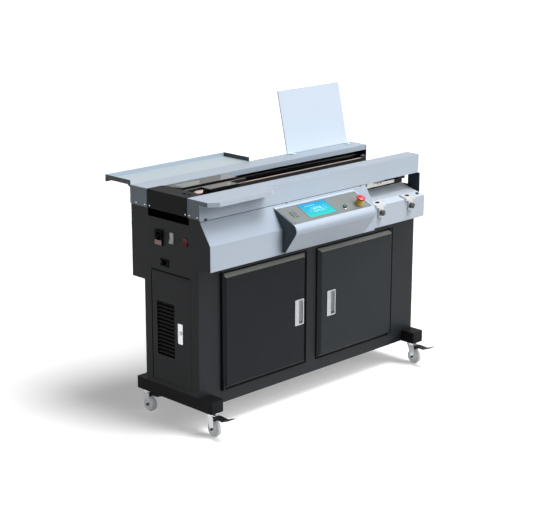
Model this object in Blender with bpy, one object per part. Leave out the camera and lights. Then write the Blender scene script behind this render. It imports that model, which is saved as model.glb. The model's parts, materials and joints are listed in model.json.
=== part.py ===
"""Perfect binding machine on a two-door cabinet, as an assembly of separate pieces.

Machine axes while modelling: x runs from the left side panel to the right one, y from the
cabinet front to the back, z up from the floor, all in metres. At the end everything hangs on
one empty that puts the origin at the middle of the footprint, on the floor.
"""

from math import cos, pi, radians, sin, sqrt, tan

import bmesh
import bpy
from mathutils import Matrix, Vector

# Clearances
GAP = 0.0003
DOOR_GAP = 0.001
OVERRUN = 0.002

# Sheet and plate
PANEL_SHEET = 0.003
COVER_SHEET = 0.002

# Body: two side panels on two feet, a narrow cabinet up to the bed and a deeper head above
LENGTH = 1.300
BED_HEIGHT = 0.650
HEAD_HEIGHT = 0.303
CABINET_DEPTH = 0.316
REAR_OVERHANG = 0.074
OVERHANG_DROP = 0.072
FLANGE_DROP = 0.076
FLANGE_STEP = 0.006

# Feet
CASTER_HEIGHT = 0.101
FOOT_HEIGHT = 0.050
FOOT_WIDTH = 0.067
FOOT_FRONT = 0.071
FOOT_REAR = 0.063
FOOT_CORNER = 0.006
CASTER_PLATE = 0.003
CASTER_PLATE_RADIUS = 0.025

# Casters
CASTER_INSET_FRONT = 0.034
CASTER_INSET_REAR = 0.028
CASTER_TRAIL = 0.016
WHEEL_RADIUS = 0.0325
WHEEL_WIDTH = 0.022
HUB_WIDTH = 0.028
HUB_RADIUS = 0.012
TYRE_ROUND = 0.004
AXLE_RADIUS = 0.004
AXLE_HEAD = 0.002
FORK_SHEET = 0.0025
FORK_WIDTH = 0.026
FORK_FOOT_RADIUS = 0.009
SWIVEL_RADIUS = 0.023
SWIVEL_HEIGHT = 0.007
CROWN_SHEET = 0.003
PEDAL_WIDTH = 0.036
PEDAL_SHEET = 0.003
PEDAL_PIVOT_RADIUS = 0.0025
PEDAL_HUB_RADIUS = 0.0055
PEDAL_PIVOT_REACH = 0.020
PEDAL_PIVOT_DROP = 0.024
PEDAL_START = 0.027
PEDAL_BEND = 0.077
PEDAL_TIP = 0.113
PEDAL_DIP = 0.018
PEDAL_TIP_DROP = 0.004
PEDAL_ARM_LENGTH = 0.016
PEDAL_ARM_DEPTH = 0.007
SHOE_REACH = 0.0115
SHOE_WIDTH = 0.007
SHOE_ANGLE = radians(25)

# Front skirt, and the lower apron that replaces it at the right
SKIRT_RISE = 0.031
SKIRT_FRONT = 0.102
SKIRT_REACH = 0.074
SKIRT_SEAM = 0.0015
APRON_LENGTH = 0.352
APRON_REACH = 0.066
APRON_FRONT = 0.098
APRON_RISE = 0.036
APRON_BACK = 0.069
APRON_INSET = 0.013
APRON_LIFT = 0.004
POST_FRONT = 0.027
POST_REAR = 0.038
NOTCH_DROP = 0.141

# Front cover, a long box beam with a ledge at its left end
BEAM_REACH = 0.016
BEAM_DEPTH = 0.068
BEAM_HEIGHT = 0.082
BEAM_RETURN = 0.020
LEDGE_REACH = 0.088
LEDGE_LENGTH = 0.355
LEDGE_CORNER = 0.040
LEDGE_CORNER_REACH = 0.026
LEDGE_LIP = 0.018

# Rear cover
CHANNEL_REAR = 0.290
REAR_LIP = 0.022

# Left deck and front deck beside the channel
LEFT_DECK_LENGTH = 0.082
DECK_NOTCH_X = 0.035
DECK_NOTCH_LENGTH = 0.014
DECK_NOTCH_Y = 0.027
DECK_NOTCH_WIDTH = 0.048
LEFT_DECK_RETURN = 0.010
FRONT_DECK_MARGIN = 0.165
FRONT_DECK_DROP = 0.026
FRONT_DECK_DEPTH = 0.113
FRONT_DECK_LIP = 0.022
FRONT_DECK_WALL = 0.046
RAIL_WIDTH = 0.012
RAIL_HEIGHT = 0.011
RAIL_INSET = 0.004
RAIL_STOP_LENGTH = 0.017
RAIL_STOP_HEIGHT = 0.018

# Side panel cut-outs: the carriage slot, the service opening and the electrical fittings
SLOT_FRONT = 0.046
SLOT_REAR = 0.287
SLOT_DROP = 0.108
SLOT_HEIGHT = 0.032
SERVICE_FRONT = 0.041
SERVICE_REAR = 0.276
SERVICE_RISE = 0.021
SERVICE_DROP = 0.028

# Service door
SERVICE_DEPTH = 0.012
SERVICE_SKIN = 0.002
SERVICE_NOSE = 0.006
SERVICE_PIN_RADIUS = 0.003
SERVICE_PIN_LENGTH = 0.006
SERVICE_LUG = 0.006
SERVICE_LUG_REACH = 0.007
LOUVRE_FRONT = 0.139
LOUVRE_REAR = 0.243
LOUVRE_RISE = 0.110
LOUVRE_DROP = 0.117
LOUVRE_COUNT = 14
LOUVRE_BLADE = 0.0016
LOUVRE_DEPTH = 0.009
LOUVRE_ANGLE = radians(42)
LOUVRE_BITE = 0.001
LOCK_Y = 0.104
LOCK_RISE = 0.224
LOCK_SIZE = 0.018
LOCK_STEM = 0.010
LOCK_PROUD = 0.0045
LOCK_CAP = 0.0035
LOCK_STEM_LENGTH = 0.016

# Front frame and its two doors
FRAME_DEPTH = 0.018
FRAME_SHEET = 0.003
FRAME_RISE = 0.050
DOOR_RISE = 0.011
DOOR_DROP = 0.013
LEFT_DOOR_MARGIN = 0.120
RIGHT_DOOR_MARGIN = 0.162
DOOR_POST = 0.078
DOOR_LAP = 0.012
DOOR_DEPTH = 0.018
DOOR_EDGE = 0.005
DOOR_CHAMFER = 0.014
DOOR_SKIN = 0.002
HINGE_INSET = 0.0065
HINGE_NOSE = 0.006
HINGE_BITE = 0.001
HINGE_PIN_RADIUS = 0.003
HINGE_PIN_LENGTH = 0.008
HINGE_LUG_RADIUS = 0.0065
HINGE_LUG_HEIGHT = 0.005
PULL_WIDTH = 0.052
PULL_HEIGHT = 0.111
PULL_BEZEL = 0.0015
PULL_RIM = 0.004
PULL_WALL = 0.0015
PULL_POCKET = 0.012
PULL_GRIP_SHARE = 0.4
LEFT_PULL_INSET = 0.017
RIGHT_PULL_INSET = 0.047
PULL_RISE = 0.174

# Back panel and machine bed
BACK_SHEET = 0.003
BED_SHEET = 0.006
BED_FRONT_GAP = 0.001

# Stations on the bed, counted from the right end
NIP_MARGIN = 0.080
NIP_LENGTH = 0.240
STATION_SPACE = 0.120

# Milling station
BOOK_PLANE = 0.190
CUTTER_RADIUS = 0.055
CUTTER_THICKNESS = 0.010
CUTTER_DROP = 0.091
CUTTER_TEETH = 16
CUTTER_TOOTH = 0.006
CUTTER_HUB_RADIUS = 0.018
CUTTER_HUB_HEIGHT = 0.004
SPINDLE_RADIUS = 0.010
SPINDLE_LENGTH = 0.020
TOWER_RADIUS = 0.052
SHROUD_RADIUS = 0.070
SHROUD_WALL = 0.005
SHROUD_DROP = 0.087
SHROUD_DEPTH = 0.028
SHROUD_BASE = 0.014

# Glue tank and its roller
TANK_LENGTH = 0.220
TANK_FRONT = 0.085
TANK_DEPTH = 0.210
TANK_DROP = 0.093
TANK_WALL = 0.012
TANK_BASIN = 0.060
ROLLER_RADIUS = 0.028
ROLLER_DROP = 0.020
ROLLER_SHAFT = 0.007
ROLLER_END_GAP = 0.002
ROLLER_X_SHARE = 0.5

# Nip station at the right
NIP_FRONT = 0.100
NIP_DEPTH = 0.150
NIP_TABLE_DROP = 0.123
NIP_FENCE = 0.010
NIP_RISE = 0.036
NIP_BASE_DEPTH = 0.045
NIP_BASE_HEIGHT = 0.008
NIP_FACE = 0.008
NIP_SET_BACK = 0.005

# Cover hold-down bar under the beam, and its end clamp
HOLD_MARGIN = 0.110
HOLD_SET_IN = 0.037
HOLD_FRONT = 0.008
HOLD_DEPTH = 0.038
HOLD_DROP = 0.029
HOLD_HEIGHT = 0.014
CLAMP_LENGTH = 0.045
CLAMP_WALL = 0.004
CLAMP_FRONT = 0.008
CLAMP_BITE = 0.020

# Clamp carriage and its moving jaw
CARRIAGE_SPACE = 0.002
CARRIAGE_LENGTH = 0.338
CARRIAGE_END = 0.020
CARRIAGE_BAR_DROP = 0.028
CARRIAGE_BAR_HEIGHT = 0.037
FRONT_JAW_SHEET = 0.008
JAW_HEIGHT = 0.074
JAW_DROP = 0.003
RUNNER_INSET = 0.093
RUNNER_LENGTH = 0.153
RUNNER_FRONT = 0.113
SHAFT_RADIUS = 0.010
SHAFT_BEHIND = 0.045
SHAFT_DROP = 0.048
SHAFT_WALL = 0.008
JAW_OPENING = 0.032
JAW_SHEET = 0.008
JAW_PLATE = 0.003
JAW_PLATE_OVERLAP = 0.009
JAW_FOOT_FRONT = 0.014
JAW_CHAMFER = 0.018
JAW_CHAMFER_DEPTH = 0.039

# Console
CONSOLE_MARGIN = 0.083
CONSOLE_LENGTH = 0.475
CONSOLE_REAR_DROP = 0.090
CONSOLE_NOSE_REACH = 0.093
CONSOLE_NOSE_DROP = 0.155
CONSOLE_NOSE_RADIUS = 0.029
CONSOLE_TOE_REACH = 0.016
CONSOLE_TOE_RISE = 0.007
CHEEK_SHEET = 0.003
TIE_WIDTH = 0.010
TIE_RISE = 0.010
DIAL_PANEL_SHEET = 0.0015
DIAL_PANEL_LEFT = 0.002
DIAL_PANEL_RIGHT = 0.009
DIAL_PANEL_REAR = 0.013
DIAL_PANEL_FRONT = 0.122
SCREEN_START = 0.1135
SCREEN_WIDTH = 0.154
SCREEN_REAR = 0.021
SCREEN_DEPTH = 0.086
SCREEN_THICKNESS = 0.014
SCREEN_PROUD = 0.0008
BUTTON_X = 0.325
BUTTON_ALONG = 0.094
BUTTON_RADIUS = 0.010
BUTTON_STEM = 0.008
BUTTON_RISE = 0.0045
BUTTON_CAP = 0.004
BUTTON_STEM_LENGTH = 0.012
STOP_X = 0.4135
STOP_ALONG = 0.093
STOP_BASE_RADIUS = 0.018
STOP_BASE_TOP_RADIUS = 0.014
STOP_BASE_HEIGHT = 0.022
STOP_HEAD_RADIUS = 0.020
STOP_HEAD_HEIGHT = 0.012
STOP_HEAD_RISE = 0.028
STOP_STEM_RADIUS = 0.0085
STOP_STEM_LENGTH = 0.033

# Electrical fittings on the left panel
BREAKER_Y = 0.2005
BREAKER_WIDTH = 0.042
BREAKER_RISE = 0.087
BREAKER_HEIGHT = 0.061
BREAKER_PROUD = 0.007
BREAKER_DEPTH = 0.045
LEVER_WIDTH = 0.020
LEVER_THICKNESS = 0.009
LEVER_REACH = 0.016
LEVER_BARREL = 0.0075
LEVER_SLOT = 0.030
LEVER_Z_SHARE = 0.62
WHITE_ROCKER_Y = 0.138
WHITE_ROCKER_WIDTH = 0.020
WHITE_ROCKER_RISE = 0.1265
WHITE_ROCKER_HEIGHT = 0.044
RED_ROCKER_Y = 0.056
RED_ROCKER_WIDTH = 0.026
RED_ROCKER_RISE = 0.126
RED_ROCKER_HEIGHT = 0.032
ROCKER_GAP = 0.0005
ROCKER_IN = radians(5)
ROCKER_OUT = radians(21)
ROCKER_FACE_SHARE = 0.04
INLET_Y = 0.166
INLET_WIDTH = 0.050
INLET_RISE = 0.004
INLET_HEIGHT = 0.031
INLET_FLANGE = 0.002
INLET_RIM = 0.004
INLET_DEPTH = 0.020
INLET_RECESS_WIDTH = 0.026
INLET_RECESS_HEIGHT = 0.018
INLET_RECESS_DEPTH = 0.016
PIN_WIDTH = 0.002
PIN_HEIGHT = 0.006
PIN_LENGTH = 0.012
PIN_PITCH = 0.0075

# Paper tray behind the head
TRAY_LENGTH = 0.660
TRAY_DEPTH = 0.158
TRAY_LIP = 0.017
TRAY_HEM = 0.013
TRAY_FLANGE = 0.024
TRAY_GUSSET_INSET = 0.050
TRAY_GUSSET_DROP = 0.066
TRAY_GUSSET_REACH = 0.100

# Leaning acrylic board
BOARD_MARGIN = 0.030
BOARD_WIDTH = 0.390
BOARD_HEIGHT = 0.278
BOARD_SHEET = 0.005
BOARD_LEAN = radians(13)
BOARD_INSET = 0.012
BOARD_TAB_WIDTH = 0.020
BOARD_TAB_REACH = 0.028
BOARD_TAB_MARGIN = 0.008
BOARD_TAB_SHEET = 0.003

# Stop blocks on the apron
BLOCK_MARGIN_SHARES = (0.875, 0.31818)
BLOCK_WIDTH = 0.062
BLOCK_BACK = 0.036
BLOCK_SHEET = 0.006
BLOCK_LEG_WIDTH = 0.030
BLOCK_LEG_DROP = 0.049
BLOCK_HOLE_LENGTH = 0.018
BLOCK_HOLE_WIDTH = 0.008
KNOB_RADIUS = 0.013
KNOB_LENGTH = 0.013
KNOB_DROP = 0.029
KNOB_LOBES = 10
KNOB_LOBE_DEPTH = 0.0012
KNOB_STUD_RADIUS = 0.003

ROUND_SEGMENTS = 24
FINE_SEGMENTS = 32
SMALL_SEGMENTS = 12

# Planes worked out from the sizes above
FOOT_TOP = CASTER_HEIGHT + FOOT_HEIGHT
TOP_HEIGHT = BED_HEIGHT + HEAD_HEIGHT
OVERHANG_BOTTOM = BED_HEIGHT - OVERHANG_DROP
REAR = CABINET_DEPTH + REAR_OVERHANG
COVER_UNDER = TOP_HEIGHT - COVER_SHEET
PANEL_TOP = COVER_UNDER - GAP
BEAM_BOTTOM = TOP_HEIGHT - BEAM_HEIGHT
BEAM_REAR = BEAM_DEPTH - BEAM_REACH
INNER_LEFT = PANEL_SHEET + GAP
INNER_RIGHT = LENGTH - PANEL_SHEET - GAP
OUTER_LEFT = -GAP - COVER_SHEET
OUTER_RIGHT = LENGTH + GAP + COVER_SHEET
FLANGE_BOTTOM = TOP_HEIGHT - FLANGE_DROP
SKIRT_BOTTOM = BED_HEIGHT + SKIRT_RISE
SKIRT_BEND = SKIRT_BOTTOM + SKIRT_FRONT
SKIRT_LENGTH = LENGTH - APRON_LENGTH
APRON_BOTTOM = SKIRT_BOTTOM + APRON_LIFT
APRON_BEND = SKIRT_BOTTOM + APRON_FRONT
NOTCH_BOTTOM = TOP_HEIGHT - NOTCH_DROP
FRONT_DECK_END = LENGTH - FRONT_DECK_MARGIN
SLOT_BOTTOM = TOP_HEIGHT - SLOT_DROP
SERVICE_BOTTOM = FOOT_TOP + SERVICE_RISE
SERVICE_TOP = BED_HEIGHT - SERVICE_DROP
LOUVRE_BOTTOM = SERVICE_BOTTOM + LOUVRE_RISE
LOUVRE_TOP = SERVICE_TOP - LOUVRE_DROP
LOCK_Z = SERVICE_BOTTOM + LOCK_RISE
FRAME_TOP = BED_HEIGHT + FRAME_RISE
DOOR_BOTTOM = FOOT_TOP + DOOR_RISE
DOOR_TOP = BED_HEIGHT - DOOR_DROP
DOOR_WIDTH = (LENGTH - LEFT_DOOR_MARGIN - DOOR_POST - RIGHT_DOOR_MARGIN) / 2
LEFT_DOOR_START = LEFT_DOOR_MARGIN
RIGHT_DOOR_START = LEFT_DOOR_MARGIN + DOOR_WIDTH + DOOR_POST
PULL_BOTTOM = DOOR_BOTTOM + PULL_RISE
NIP_START = LENGTH - NIP_MARGIN - NIP_LENGTH
NIP_TABLE_TOP = TOP_HEIGHT - NIP_TABLE_DROP
NIP_TOP = NIP_TABLE_TOP + NIP_RISE
TANK_START = NIP_START - STATION_SPACE - TANK_LENGTH
TANK_TOP = TOP_HEIGHT - TANK_DROP
ROLLER_AXIS = TANK_TOP - ROLLER_DROP
CUTTER_X = TANK_START - STATION_SPACE
CUTTER_TOP = TOP_HEIGHT - CUTTER_DROP
SHROUD_TOP = TOP_HEIGHT - SHROUD_DROP
SHROUD_FLOOR = SHROUD_TOP - SHROUD_DEPTH
SHROUD_UNDER = SHROUD_FLOOR - SHROUD_BASE
HOLD_LENGTH = APRON_LENGTH - HOLD_MARGIN - HOLD_SET_IN
HOLD_START = LENGTH - HOLD_MARGIN - HOLD_LENGTH
HOLD_BOTTOM = BEAM_BOTTOM - HOLD_DROP
CARRIAGE_START = LEFT_DECK_LENGTH + CARRIAGE_SPACE
CARRIAGE_FRONT = BEAM_REAR + FRONT_DECK_DEPTH + CARRIAGE_SPACE
CARRIAGE_BAR_TOP = TOP_HEIGHT - CARRIAGE_BAR_DROP
JAW_TOP = TOP_HEIGHT - JAW_DROP
JAW_BOTTOM = JAW_TOP - JAW_HEIGHT
JAW_PLATE_REAR = CHANNEL_REAR - CARRIAGE_SPACE
RUNNER_START = CARRIAGE_START + RUNNER_INSET
SHAFT_Y = CHANNEL_REAR + SHAFT_BEHIND
SHAFT_Z = TOP_HEIGHT - SHAFT_DROP
CONSOLE_START = SKIRT_LENGTH - CONSOLE_MARGIN - CONSOLE_LENGTH
CONSOLE_REAR_Z = TOP_HEIGHT - CONSOLE_REAR_DROP
CONSOLE_NOSE_Y = SKIRT_REACH + CONSOLE_NOSE_REACH
CONSOLE_NOSE_Z = TOP_HEIGHT - CONSOLE_NOSE_DROP
TIE_Z = SKIRT_BOTTOM + CONSOLE_TOE_RISE + TIE_RISE
TIE_Y = SKIRT_REACH + CONSOLE_TOE_REACH / 2
BREAKER_Z = BED_HEIGHT + BREAKER_RISE
WHITE_ROCKER_Z = BED_HEIGHT + WHITE_ROCKER_RISE
RED_ROCKER_Z = BED_HEIGHT + RED_ROCKER_RISE
INLET_Z = BED_HEIGHT + INLET_RISE
BOARD_START = LENGTH - BOARD_MARGIN - BOARD_WIDTH
BLOCK_LEG_BOTTOM = APRON_BEND - BLOCK_LEG_DROP
KNOB_Z = APRON_BEND - KNOB_DROP
AXIS = {"x": Vector((1.0, 0.0, 0.0)), "y": Vector((0.0, 1.0, 0.0)), "z": Vector((0.0, 0.0, 1.0))}


# Meshes

def box(low, high):
    """A box between two corners."""
    mesh = bmesh.new()
    bmesh.ops.create_cube(mesh, size=1.0)
    low, high = Vector(low), Vector(high)
    middle = (low + high) / 2
    size = high - low
    bmesh.ops.transform(mesh, matrix=Matrix.Translation(middle) @ Matrix.Diagonal((*size, 1.0)),
                        verts=mesh.verts)
    return mesh


def prism(outline, axis, start, end):
    """An outline in the plane across an axis, extruded along it from start to end.

    The outline holds (y, z) for the x axis, (x, z) for y and (x, y) for z.
    """
    place = {"x": lambda u, v: Vector((start, u, v)),
             "y": lambda u, v: Vector((u, start, v)),
             "z": lambda u, v: Vector((u, v, start))}[axis]
    mesh = bmesh.new()
    face = mesh.faces.new([mesh.verts.new(place(u, v)) for u, v in outline])
    grown = bmesh.ops.extrude_face_region(mesh, geom=[face])
    moved = [item for item in grown["geom"] if isinstance(item, bmesh.types.BMVert)]
    bmesh.ops.translate(mesh, vec=AXIS[axis] * (end - start), verts=moved)
    bmesh.ops.recalc_face_normals(mesh, faces=mesh.faces)
    return mesh


def turned(profile, centre, direction, segments=ROUND_SEGMENTS):
    """A closed profile of (radius, height) points turned about a line through centre."""
    mesh = bmesh.new()
    rings = []
    for radius, height in profile:
        if radius == 0:
            rings.append([mesh.verts.new((0.0, 0.0, height))])
            continue
        rings.append([mesh.verts.new((radius * cos(2 * pi * step / segments),
                                      radius * sin(2 * pi * step / segments), height))
                      for step in range(segments)])
    for lower, upper in zip(rings, rings[1:] + rings[:1]):
        for step in range(segments):
            after = (step + 1) % segments
            corners = [lower[step % len(lower)], lower[after % len(lower)],
                       upper[after % len(upper)], upper[step % len(upper)]]
            corners = list(dict.fromkeys(corners))
            if len(corners) > 2:
                mesh.faces.new(corners)
    bmesh.ops.recalc_face_normals(mesh, faces=mesh.faces)
    turn = Vector((0.0, 0.0, 1.0)).rotation_difference(Vector(direction)).to_matrix().to_4x4()
    bmesh.ops.transform(mesh, matrix=Matrix.Translation(centre) @ turn, verts=mesh.verts)
    return mesh


def rod(centre, direction, radius, start, end, segments=ROUND_SEGMENTS):
    """A plain round bar about a line through centre, from start to end along it."""
    profile = [(0, start), (radius, start), (radius, end), (0, end)]
    return turned(profile[:], centre, direction, segments)


def corner_line(first, corner, last, distance):
    """The point where two lines, both moved sideways by distance, meet near a corner."""
    ahead = (Vector(corner) - Vector(first)).normalized()
    beyond = (Vector(last) - Vector(corner)).normalized()
    side = Vector((-ahead.y, ahead.x))
    bend = Vector((-beyond.y, beyond.x))
    mitre = side + bend
    return Vector(corner) + mitre * (2 * distance / mitre.length_squared)


def crossing(first, second, third, fourth):
    """The point where the line through two points crosses the line through two others."""
    ahead = Vector(second) - Vector(first)
    across = Vector(fourth) - Vector(third)
    apart = Vector(third) - Vector(first)
    share = (apart.x * across.y - apart.y * across.x) / (ahead.x * across.y - ahead.y * across.x)
    return Vector(first) + ahead * share


def moved_line(line, distance):
    """An open line of points, moved sideways to its left by distance."""
    points = [Vector(point) for point in line]
    first = (points[1] - points[0]).normalized()
    last = (points[-1] - points[-2]).normalized()
    result = [points[0] + Vector((-first.y, first.x)) * distance]
    for before, corner, after in zip(points, points[1:], points[2:]):
        result.append(corner_line(before, corner, after, distance))
    result.append(points[-1] + Vector((-last.y, last.x)) * distance)
    return result


def folded(line, thickness):
    """The closed section of a sheet folded along a line, with its thickness to the left."""
    return [Vector(point) for point in line] + moved_line(line, thickness)[::-1]


def arc(centre, radius, start, end, steps):
    """Points on an arc, from one angle to another."""
    return [Vector((centre[0] + radius * cos(start + (end - start) * step / steps),
                    centre[1] + radius * sin(start + (end - start) * step / steps)))
            for step in range(steps + 1)]


def rounded(first, corner, last, radius, steps):
    """The points that round off a corner between two lines."""
    corner = Vector(corner)
    back = (Vector(first) - corner).normalized()
    ahead = (Vector(last) - corner).normalized()
    half = back.angle(ahead) / 2
    centre = corner + (back + ahead).normalized() * (radius / sin(half))
    begin = corner + back * (radius / tan(half)) - centre
    end = corner + ahead * (radius / tan(half)) - centre
    sweep = begin.angle_signed(end)
    return [centre + Matrix.Rotation(-sweep * step / steps, 2) @ begin for step in range(steps + 1)]


def rounded_rectangle(width, height, radius, steps=3):
    """A rectangle about zero with rounded corners."""
    points = []
    for turn, (across, up) in enumerate(((1, 1), (-1, 1), (-1, -1), (1, -1))):
        centre = (across * (width / 2 - radius), up * (height / 2 - radius))
        points += arc(centre, radius, turn * pi / 2, (turn + 1) * pi / 2, steps)
    return points


def slot_outline(length, width, steps=6):
    """A slot with round ends, about zero, along its first direction."""
    reach = length / 2 - width / 2
    return (arc((reach, 0.0), width / 2, -pi / 2, pi / 2, steps)
            + arc((-reach, 0.0), width / 2, pi / 2, 3 * pi / 2, steps))


def shifted(outline, across, up):
    """An outline moved in its own plane."""
    return [(point[0] + across, point[1] + up) for point in outline]


# Objects

def clear_scene():
    """Empties the scene before the machine is built."""
    for thing in list(bpy.data.objects):
        bpy.data.objects.remove(thing)


def finish(name, colour, roughness, metallic=0.0):
    """A plain material for one piece."""
    material = bpy.data.materials.new(name)
    material.use_nodes = True
    shader = material.node_tree.nodes["Principled BSDF"]
    shader.inputs["Base Color"].default_value = (*colour, 1.0)
    shader.inputs["Roughness"].default_value = roughness
    shader.inputs["Metallic"].default_value = metallic
    return material


def piece(name, mesh, look, origin=(0.0, 0.0, 0.0), carrier=None):
    """A named object from a mesh, with its origin at a point of the machine."""
    origin = Vector(origin)
    bmesh.ops.translate(mesh, vec=-origin, verts=mesh.verts)
    data = bpy.data.meshes.new(name)
    mesh.to_mesh(data)
    mesh.free()
    thing = bpy.data.objects.new(name, data)
    bpy.context.scene.collection.objects.link(thing)
    data.materials.append(finish(name, *look))
    thing.parent = carrier or MACHINE
    thing.location = origin - (place_in_machine(carrier) if carrier else Vector())
    return thing


def place_in_machine(thing):
    """Where an object's origin lies in machine axes."""
    place = Vector()
    while thing and thing is not MACHINE:
        place += thing.location
        thing = thing.parent
    return place


def combine(thing, tools, operation):
    """Cuts meshes given in machine axes from an object, or joins them to it."""
    helper = []
    offset = place_in_machine(thing)
    for tool in tools:
        bmesh.ops.translate(tool, vec=-offset, verts=tool.verts)
        data = bpy.data.meshes.new("tool")
        tool.to_mesh(data)
        tool.free()
        shape = bpy.data.objects.new("tool", data)
        bpy.context.scene.collection.objects.link(shape)
        shape.parent = thing
        step = thing.modifiers.new("shape", "BOOLEAN")
        step.operation = operation
        step.solver = "EXACT"
        step.object = shape
        helper.append(shape)
    graph = bpy.context.evaluated_depsgraph_get()
    shaped = bpy.data.meshes.new_from_object(thing.evaluated_get(graph))
    thing.modifiers.clear()
    old = thing.data
    thing.data = shaped
    bpy.data.meshes.remove(old)
    shaped.name = thing.name
    for shape in helper:
        data = shape.data
        bpy.data.objects.remove(shape)
        bpy.data.meshes.remove(data)
    return thing


def cut(thing, *tools):
    """Cuts meshes from an object."""
    return combine(thing, tools, "DIFFERENCE")


def join(thing, *tools):
    """Joins meshes to an object as one solid."""
    return combine(thing, tools, "UNION")


def smooth(thing, angle=radians(35)):
    """Smooth shading over the round stretches of an object."""
    thing.data.shade_smooth()
    thing.data.set_sharp_from_angle(angle=angle)
    return thing


BLACK = ((0.030, 0.032, 0.035), 0.55)
SILVER = ((0.48, 0.56, 0.65), 0.35, 0.3)
CHROME = ((0.75, 0.76, 0.78), 0.15, 1.0)
STEEL = ((0.45, 0.46, 0.48), 0.30, 1.0)
DARK_STEEL = ((0.10, 0.11, 0.12), 0.40, 0.6)
GREY_PLATE = ((0.40, 0.42, 0.44), 0.35, 0.4)
BLACK_PLASTIC = ((0.015, 0.015, 0.016), 0.45)
WHITE_PLASTIC = ((0.70, 0.70, 0.68), 0.40)
PALE_RUBBER = ((0.55, 0.56, 0.57), 0.60)
RED_PLASTIC = ((0.60, 0.03, 0.03), 0.35)
YELLOW_PLASTIC = ((0.75, 0.60, 0.08), 0.40)
GREEN_PLASTIC = ((0.02, 0.25, 0.10), 0.35)
GLASS_BLUE = ((0.02, 0.45, 0.75), 0.15)
ACRYLIC = ((0.70, 0.78, 0.90), 0.10)
CAST_METAL = ((0.25, 0.26, 0.27), 0.50, 0.7)
BRASS = ((0.55, 0.40, 0.18), 0.30, 1.0)


# Feet and casters

def foot(name, left):
    """One foot beam with rounded upright corners and a round plate over each caster."""
    start, end = -FOOT_FRONT, CABINET_DEPTH + FOOT_REAR
    outline = shifted(rounded_rectangle(FOOT_WIDTH, end - start, FOOT_CORNER),
                      left + FOOT_WIDTH / 2, (start + end) / 2)
    beam = piece(name, prism(outline, "z", CASTER_HEIGHT, FOOT_TOP), BLACK)
    plates = []
    for place in caster_rows():
        centre = (left + FOOT_WIDTH / 2, place, CASTER_HEIGHT)
        plates.append(rod(centre, AXIS["z"], CASTER_PLATE_RADIUS, -CASTER_PLATE,
                          FOOT_HEIGHT / 2))
    join(beam, *plates)
    return smooth(beam)


def caster_rows():
    """The two places along y where the casters swivel."""
    return (CASTER_INSET_FRONT - FOOT_FRONT,
            CABINET_DEPTH + FOOT_REAR - CASTER_INSET_REAR)


def fork_side(x_inner, direction, swivel):
    """One leg of a fork: a tapered plate from the crown to the axle, with the pedal lug."""
    crown = CASTER_HEIGHT - CASTER_PLATE - GAP - SWIVEL_HEIGHT
    axle = Vector((swivel[1] - CASTER_TRAIL, WHEEL_RADIUS))
    lug = Vector((swivel[1] - PEDAL_PIVOT_REACH, CASTER_HEIGHT - PEDAL_PIVOT_DROP))
    top = crown - CROWN_SHEET / 2
    foot_arc = arc(axle, FORK_FOOT_RADIUS, pi, 2 * pi, 6)
    lug_arc = arc(lug, PEDAL_HUB_RADIUS, 3 * pi / 4, 5 * pi / 4, 4)
    outline = [Vector((swivel[1] + FORK_WIDTH / 2, top))]
    outline += [Vector((swivel[1] - PEDAL_PIVOT_REACH / 2 - PEDAL_HUB_RADIUS, top))]
    outline += lug_arc + foot_arc
    start, end = sorted((x_inner, x_inner + direction * FORK_SHEET))
    return prism(outline, "x", start, end)


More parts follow.
